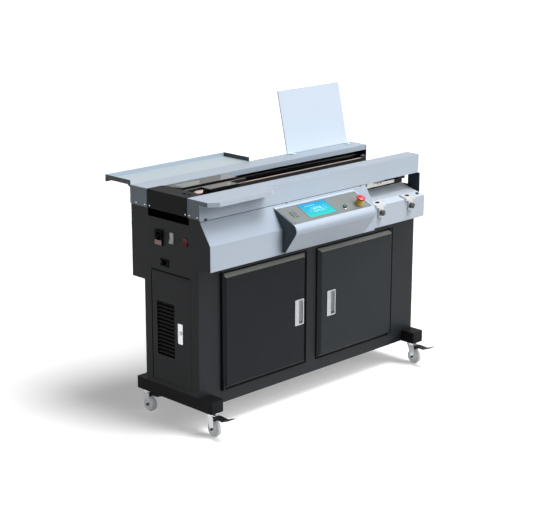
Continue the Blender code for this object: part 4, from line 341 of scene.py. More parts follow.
# The tray's enamel, painted dark on the faces that look left, its lips' too: painted shade
ENAMEL_SHADED_TRAY = replace(
    ENAMEL_REAR_LIT_FRONT, name="stove_enamelled_steel_tray", colour="#A9B6BD", drift="#B1BDC3",
    tints=(Tint("#4A4F56", Way.LEFT),))
# A grey, duller sheet on the table from its fold to its rear: painted shade of the beam's shadow
ENAMEL_TABLE_SHADE = replace(
    ENAMEL_SILVER, name="stove_enamelled_steel_table_shade", colour="#AAB4BF", drift="#B0BAC3",
    roughness=0.48, specular=0.25, edge_mm=0.4, drift_mm=60.0)
# Bright chromium plate on pressed steel: a hard mirror with a trace of polishing
CHROME_PLATE = Finish(
    "chromium_plated_steel", "#D6D8DA", "#C9CCCF", 0.12, metallic=1.0, grain_mm=0.8,
    relief_mm=0.004, gloss_spread=0.05, edge_mm=0.5, slot="chrome")
# Zinc die casting of the pulls, plated and brushed along its height: softer and darker
PLATED_CASTING = Finish(
    "plated_zinc_casting", "#B4B6B9", "#A4A6AA", 0.30, metallic=1.0, grain=Grain.ALONG_Z,
    grain_mm=0.8, relief_mm=0.006)
# Satin nickel on the stop blocks: milky, pale, without a clear mirror image
SATIN_NICKEL = Finish(
    "satin_nickel_plated_steel", "#E2E4E6", "#D6D8DB", 0.42, metallic=0.45, grain_mm=0.8,
    relief_mm=0.006, edge_mm=0.5)
# Zinc-plated bar of the hold-down, pale and slightly yellow
ZINC_BAR = Finish(
    "zinc_plated_bar", "#D9DAD2", "#C6C8C0", 0.36, metallic=0.5, grain=Grain.ALONG_X, grain_mm=0.9,
    edge_mm=0.5)
# Dark slide rail, painted pale pink on its top: a painted highlight along its length
DARK_RAIL_TOP_HIGHLIGHT = Finish(
    "dark_rail_painted_top_highlight", "#262322", "#2E2A28", 0.42, metallic=0.4, grain=Grain.ALONG_X,
    grain_mm=0.9, edge_mm=0.3, tints=(Tint("#A38F88", turned_in=0.8),))
# Black-oxide steel of the shaft and the carriage, oiled: dark, with a thin line of light
BLACK_OXIDE = Finish(
    "black_oxide_steel", "#151617", "#1E1F20", 0.30, metallic=0.5, grain=Grain.ALONG_X,
    edge_mm=0.4)
# Milled steel of the nip plate and the cutter: short tool lines across
MILLED_STEEL = Finish(
    "milled_steel_plate", "#8E9296", "#7B7F84", 0.30, metallic=1.0, grain=Grain.ALONG_Y,
    grain_mm=1.1, relief_mm=0.012, edge_mm=0.5)
# Blackened steel of the front deck, dark screws and nuts: oily, almost black
BLACKED_STEEL = Finish(
    "blackened_steel", "#232527", "#2E3033", 0.34, metallic=0.4, grain_mm=1.4, relief_mm=0.012,
    edge_mm=0.7, drift_mm=60.0, slot="dark_steel")
# Sand-cast aluminium of the bed and the tank: grey and grainy
CAST_ALUMINIUM = Finish(
    "sand_cast_aluminium", "#6E7173", "#5C5F61", 0.55, metallic=0.8, grain_mm=2.0, relief_mm=0.12,
    edge_mm=1.2, drift_mm=40.0)
# Anodised aluminium sheet, brushed along the console: fine streaks, dull shine
ANODISED_SHEET = Finish(
    "anodised_aluminium_brushed", "#7E8484", "#757A7A", 0.40, metallic=0.25, grain=Grain.ALONG_X,
    grain_mm=0.7, edge_mm=0.3, slot="grey_plate")
# Injection-moulded ABS, finely spark-eroded: a soft even black
ABS_BLACK = Finish(
    "abs_moulded_black", "#0E0F10", "#141516", 0.50, specular=0.15, grain_mm=0.7, relief_mm=0.02,
    edge_mm=0.3, slot="black_plastic")
# White ABS of the plain rocker, made to glow though no lamp is in it: painted light
ABS_WHITE_PAINTED_GLOW = Finish(
    "abs_moulded_white", "#DADBD8", "#CFCFCB", 0.38, grain_mm=0.7, relief_mm=0.015, edge_mm=0.4,
    glow=0.10, slot="white_plastic")
# Rose white ABS of the breaker's lower face: pale, warm, half dull
ABS_ROSE = replace(
    ABS_WHITE_PAINTED_GLOW, name="abs_moulded_rose_white", colour="#D8B4B2", drift="#CFA5A4", glow=0.0)
# A knob's black plastic, worn grey in patches
ABS_WORN = Finish(
    "abs_moulded_worn", "#1A1A1C", "#5C5D60", 0.45, grain_mm=0.8, relief_mm=0.03, drift_mm=7.0,
    drift_share=1.0, edge_mm=0.5, slot="black_plastic")
# The red switch with its lamp off: dark and deep
ABS_DARK_RED = Finish(
    "abs_moulded_dark_red", "#821528", "#6A0F1F", 0.38, specular=0.2, grain_mm=0.7,
    relief_mm=0.006, edge_mm=0.5)
# Phenolic housings of the breaker and the inlet: a dull deep black
PHENOLIC_BLACK = Finish(
    "phenolic_moulded_black", "#070708", "#0B0B0C", 0.65, specular=0.05, grain_mm=0.8,
    relief_mm=0.02, edge_mm=0.3)
# Polished ABS of the emergency stop's head: a strong red with a clear gloss
ABS_RED = Finish(
    "abs_moulded_red", "#D8303C", "#C92834", 0.28, coat=0.3, grain_mm=0.7, relief_mm=0.006)
# Moulded ABS of the emergency stop's base: a warm yellow, less glossy than the head
ABS_YELLOW = Finish(
    "abs_moulded_yellow", "#E6C23A", "#DDB52E", 0.36, grain_mm=0.7, relief_mm=0.008, edge_mm=0.5)
# Tinted polycarbonate of the start button: deep green under a hard gloss
POLYCARBONATE_GREEN = Finish(
    "polycarbonate_green", "#0B5A38", "#094B2F", 0.22, coat=0.3, grain_mm=0.6, relief_mm=0.004,
    edge_mm=0.4)
# Cast acrylic sheet, faintly blue, which shows the white behind it
ACRYLIC_SHEET = Finish(
    "cast_acrylic_sheet", "#DDEBFA", "#D8E8F8", 0.18, grain_mm=3.0, edge_mm=0.3, alpha=0.82,
    drift_mm=200.0)
# Polyurethane tyre, pale grey and smooth, made to glow: painted light on wheels in shade
POLYURETHANE_PAINTED_GLOW = Finish(
    "polyurethane_pale_grey", "#E6E8E9", "#DEE0E2", 0.45, relief_mm=0.02, edge_mm=0.8, glow=0.16)
# Turned brass of the glue roller, browned by heat and old glue
PATINATED_BRASS = Finish(
    "patinated_brass", "#4A3A22", "#2C2417", 0.36, metallic=0.8, grain=Grain.ALONG_X, edge_mm=0.4,
    drift_mm=25.0, drift_share=1.0)
# Tinned bronze clip on the carriage: a pale pink metal with warm patches
BRONZE_STRIP = Finish(
    "tinned_bronze_clip", "#F8EBE8", "#B07C74", 0.34, metallic=0.4, grain_mm=0.8, edge_mm=0.4,
    drift_mm=9.0, drift_share=1.0, slot="brass")
# Blasted aluminium of the clamp's plates: pale, dull and slightly green
PALE_PLATE = Finish(
    "blasted_aluminium_pale", "#7A817C", "#6C7370", 0.50, metallic=0.3, grain_mm=0.8, edge_mm=0.4,
    slot="bright_steel")
# Thinner blasted sheet at the jaw's end: a neutral pale grey
PALE_SHEET = replace(PALE_PLATE, name="blasted_aluminium_sheet", colour="#848688", drift="#707274")
# Phosphated steel in the jaw's middle: a dark flat grey with soft clouds
GREY_SHEET = replace(
    PALE_PLATE, name="phosphated_steel_sheet", colour="#575556", drift="#4F4D4E", drift_mm=30.0)
# Anodised aluminium block, dull grey
ANODISED_BLOCK = Finish(
    "anodised_aluminium_block", "#62615D", "#565551", 0.42, metallic=0.5, grain_mm=0.9,
    relief_mm=0.015, edge_mm=0.5, slot="bright_steel")
# Flat black pieces that paint the shade in the doors' gaps, the key slot and the blocks' slots
SHADE_BLACK = Finish(
    "painted_shade_black", "#050505", "#0A0A0A", 0.75, specular=0.05, relief_mm=0.02, edge_mm=0.2,
    slot="black_plastic")
# What the real screen shows through its glass: thin bars of pale light
SCREEN_LIGHT = Finish(
    "screen_pictures", "#9CDDEA", "#8AD4E4", 0.3, glow=0.10, edge_mm=0.1, relief_mm=0.0,
    slot="screen_glass")
# The screen's own glass, dark and even under the light of the panel
SCREEN_GLASS = ScreenFinish(
    "screen_glass_lit", "#061014", "#081418", 0.30, specular=0.2, glow=0.95, edge_mm=0.2,
    relief_mm=0.0)


# Mesh helpers

QUARTERS = ((1, 1), (-1, 1), (-1, -1), (1, -1))
# Points round a small, a middling and a large turned piece
SMALL, MIDDLING, LARGE = 24, 28, 32
# The steps round a plate's corner, its broken edge as a share of its thickness and at most of
# its corner, and the least share of the corner that the outline inside the edge keeps
CORNER_STEPS = 4
EDGE_SHARE = 0.3
EDGE_MOST = 0.5
CORNER_LEAST = 0.3
# A screw's pan head: its height as a share of its radius, its rings as shares of radius and
# height, and the crosses of its recess as reach, width and level
HEAD_SIDES = 20
HEAD_HEIGHT = 0.7
HEAD_PROFILE = ((0.96, 0.0), (1.0, 0.3), (0.86, 0.75), (0.66, 0.96))
HEAD_CROSSES = ((0.5, 0.2, 1.0), (0.42, 0.14, 0.3))
SHARP_ANGLE = radians(38)


def ring(radius: float, height: float, count: int) -> Loop:
    """Returns points on a level circle."""
    return [(radius * cos(2 * pi * step / count), radius * sin(2 * pi * step / count), height)
            for step in range(count)]


def turned(profile: Pairs, count: int) -> Loops:
    """Returns the rings of a turned piece from radii and heights in millimetres."""
    return [ring(radius * MM, height * MM, count) for radius, height in profile]


def stepped(across: float, deep: float, steps: Pairs) -> Loops:
    """Returns level rectangles that reach out by each step from a half width and depth."""
    return [[(x * (across + reach * MM), y * (deep + reach * MM), height * MM)
             for x, y in QUARTERS] for reach, height in steps]


def oval(half: float, radius: float, height: float, count: int = SMALL) -> Loop:
    """Returns points round a level slot from half its length and the radius of its ends."""
    angles = [(step + 0.5) * 2 * pi / count for step in range(count)]
    return [((half - radius) * (1 if cos(angle) > 0 else -1) + radius * cos(angle),
             radius * sin(angle), height) for angle in angles]


def cross_ring(reach: float, width: float, height: float) -> Loop:
    """Returns the twelve points of a cross, such as the recess in a screw's head."""
    arm = ((reach, width / 2), (width / 2, width / 2), (width / 2, reach))
    return [(x * cos(angle) - y * sin(angle), x * sin(angle) + y * cos(angle), height)
            for angle in (turn * pi / 2 for turn in range(4)) for x, y in arm]


def plate_loops(low: Point, high: Point, corner: float, axis: int) -> Loops:
    """Returns the outlines of a plate with rounded corners and softly broken edges.

    Args:
        low: The lowest corner.
        high: The highest corner.
        corner: The radius of the corners seen along the axis.
        axis: The axis that the plate's thickness lies along.

    Returns:
        Four outlines, from the bottom to the top.
    """
    bottom, top = low[axis], high[axis]
    sides = [side for side in range(3) if side != axis]
    broken = min((top - bottom) * EDGE_SHARE, corner * EDGE_MOST)
    loops = []
    for inset, height in ((broken, bottom), (0.0, bottom + broken), (0.0, top - broken),
                          (broken, top)):
        radius = max(corner - inset, corner * CORNER_LEAST)
        loop = []
        for turn, far in enumerate(((1, 1), (0, 1), (0, 0), (1, 0))):
            centre = [high[side] - inset - radius if at_high else low[side] + inset + radius
                      for side, at_high in zip(sides, far)]
            for step in range(CORNER_STEPS + 1):
                angle = (turn + step / CORNER_STEPS) * pi / 2
                point = [height] * 3
                point[sides[0]] = centre[0] + radius * cos(angle)
                point[sides[1]] = centre[1] + radius * sin(angle)
                loop.append(tuple(point))
        loops.append(loop)
    return loops


def facing(centre: Vector, direction: Vector) -> Matrix:
    """Returns a placing with its z axis along a direction."""
    turn = Vector((0, 0, 1)).rotation_difference(direction).to_matrix().to_4x4()
    return Matrix.Translation(centre) @ turn


def dress(finish: Finish, *nodes: str) -> None:
    """Gives CAD nodes their finish.

    Args:
        finish: What they are made of.
        nodes: The nodes' names.
    """
    for node in nodes:
        thing = frame["nodes"][node]
        thing.data.materials.clear()
        thing.data.materials.append(finish.material())
        LOG.info("node %s is %s", node, finish.name)


@dataclass
class Fitting:
    """A small piece in the making: its mesh grows in world metres, and then it is fitted."""

    name: str
    finish: Finish
    body: str = "cabinet"
    shape: bmesh.types.BMesh = field(default_factory=bmesh.new)

    def loft(self, loops: Loops, place: Matrix = UNTURNED) -> Self:
        """Skins loops of points from one to the next, and caps both ends.

        Loops of the same count are joined point by point, and others by the shortest edges.

        Args:
            loops: Closed loops of points, from the bottom to the top.
            place: Where the skin goes.

        Returns:
            The fitting.
        """
        rows = [[self.shape.verts.new(place @ Vector(point)) for point in loop]
                for loop in loops]
        for lower, upper in zip(rows, rows[1:]):
            if len(lower) == len(upper):
                for step in range(len(lower)):
                    self.shape.faces.new((lower[step - 1], lower[step],
                                          upper[step], upper[step - 1]))
                continue
            edges = []
            for row in (lower, upper):
                for step in range(len(row)):
                    pair = (row[step - 1], row[step])
                    edges.append(self.shape.edges.get(pair) or self.shape.edges.new(pair))
            bmesh.ops.bridge_loops(self.shape, edges=edges)
        self.shape.faces.new(rows[0])
        self.shape.faces.new(rows[-1])
        return self

    def slab(self, low: Point, high: Point, corner: float, axis: int = 2,
             place: Matrix = UNTURNED) -> Self:
        """Adds a plate between two corners, rounded as it is seen along the axis."""
        return self.loft(plate_loops(low, high, corner, axis), place)

    def screws(self, spots: list[Vector], direction: Vector, radius: float) -> Self:
        """Adds pan heads with a cross recess.

        Args:
            spots: The middles of the heads' undersides.
            direction: The way that the heads look.
            radius: The heads' radius.

        Returns:
            The fitting.
        """
        height = radius * HEAD_HEIGHT
        loops = [ring(radius * share, height * level, HEAD_SIDES)
                 for share, level in HEAD_PROFILE]
        loops += [cross_ring(radius * reach, radius * width, height * level)
                  for reach, width, level in HEAD_CROSSES]
        for spot in spots:
            self.loft(loops, facing(spot, direction))
        return self

    def fit(self) -> Object:
        """Makes the piece, which rides on its body and takes its finish's material.

        Returns:
            The new object.
        """
        bmesh.ops.recalc_face_normals(self.shape, faces=self.shape.faces)
        data = bpy.data.meshes.new(self.name)
        self.shape.to_mesh(data)
        self.shape.free()
        data.shade_smooth()
        data.set_sharp_from_angle(angle=SHARP_ANGLE)
        data.materials.append(self.finish.material())
        piece = placed(self.name, data)
        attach(piece, self.body)
        LOG.info("piece %s rides on %s", self.name, self.body)
        return piece


@dataclass
class Corner:
    """The lowest and highest corner of a CAD node at rest."""

    node: str
    low: Vector = field(init=False)
    high: Vector = field(init=False)

    def __post_init__(self) -> None:
        """Reads the node's box."""
        low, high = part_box(self.node)
        self.low, self.high = Vector(low), Vector(high)

    @property
    def middle(self) -> Vector:
        """The middle of the box."""
        return (self.low + self.high) / 2


@dataclass
class Datum:
    """The machine's own corner: left panel's face, cabinet front and floor."""

    foot_front: float = 71 * MM
    origin: Vector = field(init=False)

    def __post_init__(self) -> None:
        """Finds the corner from the left panel and the left foot."""
        self.origin = Vector((Corner("left_side_panel").low.x,
                              Corner("left_foot").low.y + self.foot_front, 0.0))

    def at(self, x: float, y: float, z: float) -> Vector:
        """Returns a world point from millimetres counted at the machine's corner."""
        return self.origin + Vector((x, y, z)) * MM


@dataclass(frozen=True)
class Table:
    """The slope of the infeed table, in millimetres counted at the machine's corner."""

    front: float = -66.0
    front_height: float = 779.0
    rise: float = 36.0
    run: float = 135.0

    def height(self, y: float) -> float:
        """Returns the table's height at a depth."""
        return self.front_height + (y - self.front) * self.rise / self.run

    def normal(self) -> Vector:
        """Returns the way that the table looks."""
        return Vector((0, -self.rise, self.run)).normalized()


# Sub-assemblies

@dataclass
class Assembly(ABC):
    """A sub-assembly of the machine, whose fittings are placed from the machine's corner."""

    datum: Datum

    @abstractmethod
    def dress(self) -> None:
        """Gives the CAD nodes their finishes."""

    @abstractmethod
    def build(self) -> None:
        """Adds the small fittings."""


@dataclass
class Covers(Assembly):
    """Top covers, skirt, apron and the decks beside the channel."""

    screw: float = 3.4 * MM
    screw_height: float = 887.0
    left_screws: tuple[float, ...] = (355.0, 303.0, 274.0, 63.0, 40.0, -5.0)
    right_screws: tuple[float, ...] = (355.0, 303.0, 40.0, -5.0)
    right_sunk: float = 2.0 * MM
    plug_spot: Point = (30.0, -16.0, 875.5)
    plug_profile: Pairs = ((5.5, 0.0), (5.5, 0.8), (4.6, 1.4), (3.0, 1.2))
    plug_stretch: Pair = (1.6, 0.7)
    skirt_screw: float = 2.8 * MM
    skirt_screws: tuple[float, ...] = (470.0, 914.0)
    skirt_row: Pair = (-18.2, 867.6)
    skirt_normal: Point = (0.0, -0.835, 0.55)
    table: Table = Table()
    table_ends: Pair = (949.0, 1286.0)
    table_edges: Pair = (-22.0, 66.0)
    table_shade_sheet: float = 0.7
    tray_level: float = 953.0 * MM
    tray_sheet: float = 2.0 * MM
    tray_corner: float = 1.0 * MM

    def dress(self) -> None:
        """Paints the covers and the decks."""
        dress(ENAMEL_SILVER, "right_apron")
        dress(ENAMEL_SHADED_COVER, "front_cover")
        dress(ENAMEL_SHADED_SKIRT, "front_skirt")
        dress(ENAMEL_REAR_LIT_FRONT, "rear_cover")
        dress(ENAMEL_SHADED_TRAY, "paper_tray")
        dress(POWDER_FOOT_LIT_FRONT, "left_deck")
        dress(BLACKED_STEEL, "front_deck")
        dress(DARK_RAIL_TOP_HIGHLIGHT, "guide_rail")
        dress(BLACK_OXIDE, "rear_guide_shaft")
        dress(ZINC_BAR, "cover_hold_down")
        dress(ABS_BLACK, "hold_down_clamp")

    def build(self) -> None:
        """Adds screws, the beam's plug, painted shade on the table and the tray's rear upstand."""
        beam = Corner("front_cover")
        for name, x, way, depths in (
                ("left_flange_screws", beam.low.x, Way.LEFT, self.left_screws),
                ("right_flange_screws", beam.high.x - self.right_sunk, Way.RIGHT,
                 self.right_screws)):
            spots = [Vector((x, *self.datum.at(0.0, y, self.screw_height).yz)) for y in depths]
            Fitting(name, CHROME_PLATE).screws(spots, way.vector, self.screw).fit()
        place = facing(self.datum.at(*self.plug_spot), Way.FRONT.vector)
        Fitting("beam_plug", ABS_BLACK).loft(
            turned(self.plug_profile, SMALL),
            place @ Matrix.Diagonal((*self.plug_stretch, 1.0, 1.0))).fit()
        spots = [self.datum.at(x, *self.skirt_row) for x in self.skirt_screws]
        Fitting("skirt_screws", BLACKED_STEEL).screws(
            spots, Vector(self.skirt_normal), self.skirt_screw).fit()
        # A grey sheet on the table from its fold to its rear: painted shade of the beam's shadow
        start, end = self.table_ends
        fold, rear = self.table_edges
        Fitting("table_shade_sheet", ENAMEL_TABLE_SHADE).loft(
            [[tuple(self.datum.at(x, y, self.table.height(y) + rise))
              for x, y in ((start, fold), (end, fold), (end, rear), (start, rear))]
             for rise in (0.0, self.table_shade_sheet)]).fit()
        tray = Corner("paper_tray")
        Fitting("tray_rear_upstand", ENAMEL_REAR_LIT_FRONT).slab(
            (tray.low.x + self.tray_sheet, tray.high.y - self.tray_sheet, self.tray_level),
            (tray.high.x - self.tray_sheet, tray.high.y, tray.high.z), self.tray_corner,
            axis=1).fit()


@dataclass
class LeftPanel(Assembly):
    """The left side panel with its door, lock, switches and inlet, and the other panels."""

    plate_low: Pair = (90.0, 352.0)
    plate_high: Pair = (118.0, 436.0)
    plate_thickness: float = 1.6 * MM
    plate_corner: float = 3 * MM
    strip_thickness: float = 0.8 * MM
    strip_corner: float = 1.5 * MM
    strip_rows: Pair = (1.2 * MM, 7.0 * MM)
    breaker_rows: Pair = (2 * MM, 21 * MM)
    breaker_margin: float = 1.5 * MM
    inlet_margin: float = 5 * MM
    inlet_screw: float = 2.2 * MM
    lock_steps: Pairs = ((0.0, 1.0), (0.8, 0.2), (2.2, 0.2), (2.6, 0.7))
    key_slot: Pair = (1.1 * MM, 5.8 * MM)
    key_depths: Pair = (0.8 * MM, 0.4 * MM)
    key_corner: float = 0.9 * MM
    key_turn: float = radians(18)

    def dress(self) -> None:
        """Paints the panels and colours the fittings."""
        dress(POWDER_BLACK, "left_side_panel", "back_panel", "cabinet_floor")
        dress(POWDER_LIT_INNER, "right_side_panel")
        dress(POWDER_SHADED_LOUVRE, "service_door")
        dress(PHENOLIC_BLACK, "breaker_body", "breaker_lever", "power_inlet")
        dress(CHROME_PLATE, "service_lock")
        dress(ABS_WHITE_PAINTED_GLOW, "white_rocker")
        dress(ABS_DARK_RED, "red_rocker")

    def build(self) -> None:
        """Adds the lock, the breaker's face, the inlet's screws and painted shadow over the door.
        """
        face = self.datum.origin.x
        low, high = (self.datum.at(0.0, *end) for end in (self.plate_low, self.plate_high))
        Fitting("lock_plate", CHROME_PLATE, "service_door").slab(
            (face - self.plate_thickness, low.y, low.z), (face, high.y, high.z),
            self.plate_corner, axis=0).fit()
        self.build_lock()
        breaker = Corner("breaker_body")
        low, high = (breaker.low.z + row for row in self.breaker_rows)
        Fitting("breaker_face", ABS_ROSE).slab(
            (breaker.low.x - self.strip_thickness, breaker.low.y + self.breaker_margin, low),
            (breaker.low.x, breaker.high.y - self.breaker_margin, high),
            self.strip_corner, axis=0).fit()
        inlet = Corner("power_inlet")
        spots = [Vector((inlet.low.x, y, inlet.middle.z))
                 for y in (inlet.low.y + self.inlet_margin, inlet.high.y - self.inlet_margin)]
        Fitting("inlet_screws", BLACKED_STEEL).screws(
            spots, Way.LEFT.vector, self.inlet_screw).fit()
        # A flat black strip over the door: painted shadow of the gap above it
        door = Corner("service_door")
        low, high = (door.high.z + row for row in self.strip_rows)
        Fitting("service_door_gap_shade", SHADE_BLACK).slab(
            (face - self.strip_thickness, door.low.y, low), (face, door.high.y, high),
            self.strip_corner, axis=0).fit()

    def build_lock(self) -> None:
        """Builds the push lock: a plated barrel and painted shade in the key slot across its face.
        """
        lock = Corner("service_lock")
        radius = (lock.high.z - lock.low.z) / 2
        length = lock.high.x - lock.low.x
        place = facing(Vector((lock.high.x, lock.middle.y, lock.middle.z)), Way.LEFT.vector)
        rings = [ring(radius, 0.0, LARGE)]
        rings += [ring(radius - inset * MM, length - drop * MM, LARGE)
                  for inset, drop in self.lock_steps]
        barrel = Fitting("push_lock_barrel", CHROME_PLATE, "service_lock").loft(
            rings, place).fit()
        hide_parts("service_lock")
        # A flat black plate under the barrel's face: painted shade in the key slot
        wide, tall = self.key_slot
        low, high = (length - depth for depth in self.key_depths)
        Fitting("push_lock_key_shade", SHADE_BLACK, "service_lock").slab(
            (-wide, -tall, low), (wide, tall, high), self.key_corner,
            place=place @ Matrix.Rotation(self.key_turn, 4, "Z")).fit()


@dataclass
class Front(Assembly):
    """The front frame with its two doors and their pulls, and the feet."""

    door_bottom: float = 162.0 * MM
    door_top: float = 637.0 * MM
    strip_width: float = 20 * MM
    strip_start: float = 2 * MM
    strip_gap: float = 1 * MM
    strip_head: float = 5 * MM
    strip_foot: float = 11 * MM
    strip_thickness: float = 0.5 * MM
    strip_corner: float = 1 * MM
    # The dark plate that paints the shadow beside the right foot: corners as x and height,
    # thickness
    shadow_plate: Pairs = ((1123.0, 101.6), (1250.0, 101.6), (1250.0, 151.0))
    shadow_plate_thickness: float = 0.8

    def dress(self) -> None:
        """Paints the frame, the doors and the feet, and plates the pulls."""
        dress(POWDER_FRONT, "front_frame")
        dress(POWDER_SHADED_LEFT_DOOR, "left_door")
        dress(POWDER_DOOR_HIGHLIGHT, "right_door")
        dress(POWDER_FOOT_LIT_FRONT, "left_foot", "right_foot")
        dress(PLATED_CASTING, "left_door_pull", "right_door_pull")

    def build(self) -> None:
        """Adds painted shade in the gaps round three sides of each door, and a painted shadow."""
        face = self.datum.origin.y
        # A flat dark plate on the frame beside the right foot: painted shadow
        Fitting("foot_shadow_plate", POWDER_FOOT_LIT_FRONT).loft(
            [[tuple(self.datum.at(x, y, z)) for x, z in self.shadow_plate]
             for y in (0.0, -self.shadow_plate_thickness)]).fit()
        # Flat black strips round three sides of each door: painted shade in the gaps
        low, high, gap = self.door_bottom, self.door_top, self.strip_gap
        for side in ("left", "right"):
            door = Corner(side + "_door")
            start, end = door.low.x - self.strip_start, door.high.x + self.strip_width
            strip = Fitting(side + "_door_gap_shade", SHADE_BLACK)
            for x, bottom, top in ((door.high.x + gap, low, high),
                                   (start, high + gap, high + self.strip_head),
                                   (start, low - self.strip_foot, low - gap)):
                strip.slab((x, face - self.strip_thickness, bottom), (end, face, top),
                           self.strip_corner, axis=1)
            strip.fit()


@dataclass
class Console(Assembly):
    """The tilted console: shell, cheeks, panel, screen, start button and emergency stop."""

    sheet: float = 1.5 * MM
    screen_along: float = 51 * MM
    screen_half_depth: float = 43 * MM
    bezel_steps: Pairs = ((2.6, 0.0), (2.6, 1.0), (1.9, 1.4), (0.3, 1.2), (0.3, 0.0))
    picture_height: float = 1.1 * MM
    picture_thickness: float = 0.2 * MM
    picture_corner: float = 1.2 * MM
    screw: float = 2.0 * MM
    screws_in: Pair = (13 * MM, 8 * MM)
    screws_along: Pair = (6 * MM, 103 * MM)
    button_along: float = 81 * MM
    collar: Pairs = ((12.5, 0.0), (12.5, 1.4), (11.6, 2.2), (10.6, 2.2), (10.6, 1.0),
                     (8.6, 1.0), (8.6, 0.0))
    port_x: float = 441.5
    port_along: float = 54.5 * MM
    port_half: Pair = (13.6 * MM, 16.4 * MM)
    port_rim: Pairs = ((0.0, 0.0), (0.0, 0.9), (-0.4, 1.3), (-1.5, 1.3), (-1.6, 0.2))
    port_flap: Pairs = ((-1.8, 0.2), (-1.8, 0.8), (-2.3, 1.0))
    port_disc: Pairs = ((5.5, 0.9), (5.5, 1.7), (5.0, 2.0))
    port_catch: Pairs = ((7.4, 0.9), (7.4, 1.4), (5.6, 1.4), (5.6, 1.1))
    # The pictures on the screen, in millimetres from its middle: x, y, width and height
    pictures: tuple[tuple[float, float, float, float], ...] = (
        (-22, 26, 60, 2.4), (-46, -4, 3, 16), (48, -4, 3, 16), (0, 12, 56, 2.4),
        (0, -16, 64, 2.4), (-30, -2, 2.4, 26), (31, -2, 2.4, 26), (-15, 3, 12, 9),
        (2, 4, 14, 6), (18, 2, 11, 11), (-8, -9, 26, 3), (18, -10, 14, 3), (46, 12, 8, 4))

    def __post_init__(self) -> None:
        """Finds the panel's slope from the button's way, and its rear edge."""
        press = next(joint for joint in frame["joints"] if joint["name"] == "start_button_press")
        self.normal = -Vector(press["axis"]).normalized()
        self.panel = Corner("console_panel")
        self.screen = Corner("touch_screen")
        self.ahead = Vector((0.0, -self.normal.z, self.normal.y))
        self.rear = Vector((self.panel.low.x, self.panel.high.y + self.sheet * self.normal.y,
                            self.panel.high.z))

    def on_panel(self, x: float, along: float, height: float = 0.0) -> Vector:
        """Returns a point over the panel from its world x, its depth and its height."""
        return Vector((x, self.rear.y, self.rear.z)) + self.ahead * along + self.normal * height

    def frame_of(self, x: float, along: float, height: float = 0.0) -> Matrix:
        """Returns a placing on the panel, with x to the right and y to the rear."""
        turn = Matrix((Vector((1, 0, 0)), -self.ahead, self.normal)).transposed().to_4x4()
        return Matrix.Translation(self.on_panel(x, along, height)) @ turn

    def dress(self) -> None:
        """Paints the shell, the cheeks, the panel and the switches, and lights the screen."""
        dress(ENAMEL_SHELL_LIT_BELOW, "console_shell")
        dress(POWDER_LIT_CHEEK, "console_frame")
        dress(ANODISED_SHEET, "console_panel")
        dress(POLYCARBONATE_GREEN, "start_button")
        dress(ABS_YELLOW, "stop_base")
        dress(ABS_RED, "stop_head")
        dress(replace(SCREEN_GLASS, rear_y=self.screen.high.y, front_y=self.screen.low.y),
              "touch_screen")

    def build(self) -> None:
        """Adds the screen's pictures and bezel, the panel's screws, a ring and a socket."""
        self.build_pictures()
        self.build_bezel()
        left, right = self.screws_in
        spots = [self.on_panel(x, along)
                 for x in (self.panel.low.x + left, self.panel.high.x - right)
                 for along in self.screws_along]
        Fitting("panel_screws", BLACKED_STEEL).screws(spots, self.normal, self.screw).fit()
        place = self.frame_of(Corner("start_button").middle.x, self.button_along)
        Fitting("button_collar", CHROME_PLATE).loft(turned(self.collar, LARGE), place).fit()
        self.build_port()

    def build_port(self) -> None:
        """Adds the socket at the panel's left: a dark rim, a grey flap and its round catch."""
        place = self.frame_of(self.datum.at(self.port_x, 0.0, 0.0).x, self.port_along)
        Fitting("panel_socket", ABS_BLACK).loft(
            stepped(*self.port_half, self.port_rim), place).fit()
        Fitting("panel_socket_flap", ANODISED_SHEET).loft(
            stepped(*self.port_half, self.port_flap), place).loft(
            turned(self.port_disc, MIDDLING), place).fit()
        Fitting("panel_socket_catch", ABS_BLACK).loft(
            turned(self.port_catch, MIDDLING), place).fit()

    def build_bezel(self) -> None:
        """Adds the thin grey frame round the screen."""
        half = (self.screen.high.x - self.screen.low.x) / 2
        Fitting("screen_bezel", ANODISED_SHEET).loft(
            stepped(half, self.screen_half_depth, self.bezel_steps),
            self.frame_of(self.screen.middle.x, self.screen_along)).fit()

    def build_pictures(self) -> None:
        """Lays a generic layout over the screen: thin bars round a plain outline picture."""
        place = self.frame_of(self.screen.middle.x, self.screen_along, self.picture_height)
        layout = Fitting("screen_pictures", SCREEN_LIGHT)
        for x, y, wide, tall in self.pictures:
            layout.slab(((x - wide / 2) * MM, (y - tall / 2) * MM, 0.0),
                        ((x + wide / 2) * MM, (y + tall / 2) * MM, self.picture_thickness),
                        self.picture_corner, place=place)
        layout.fit()


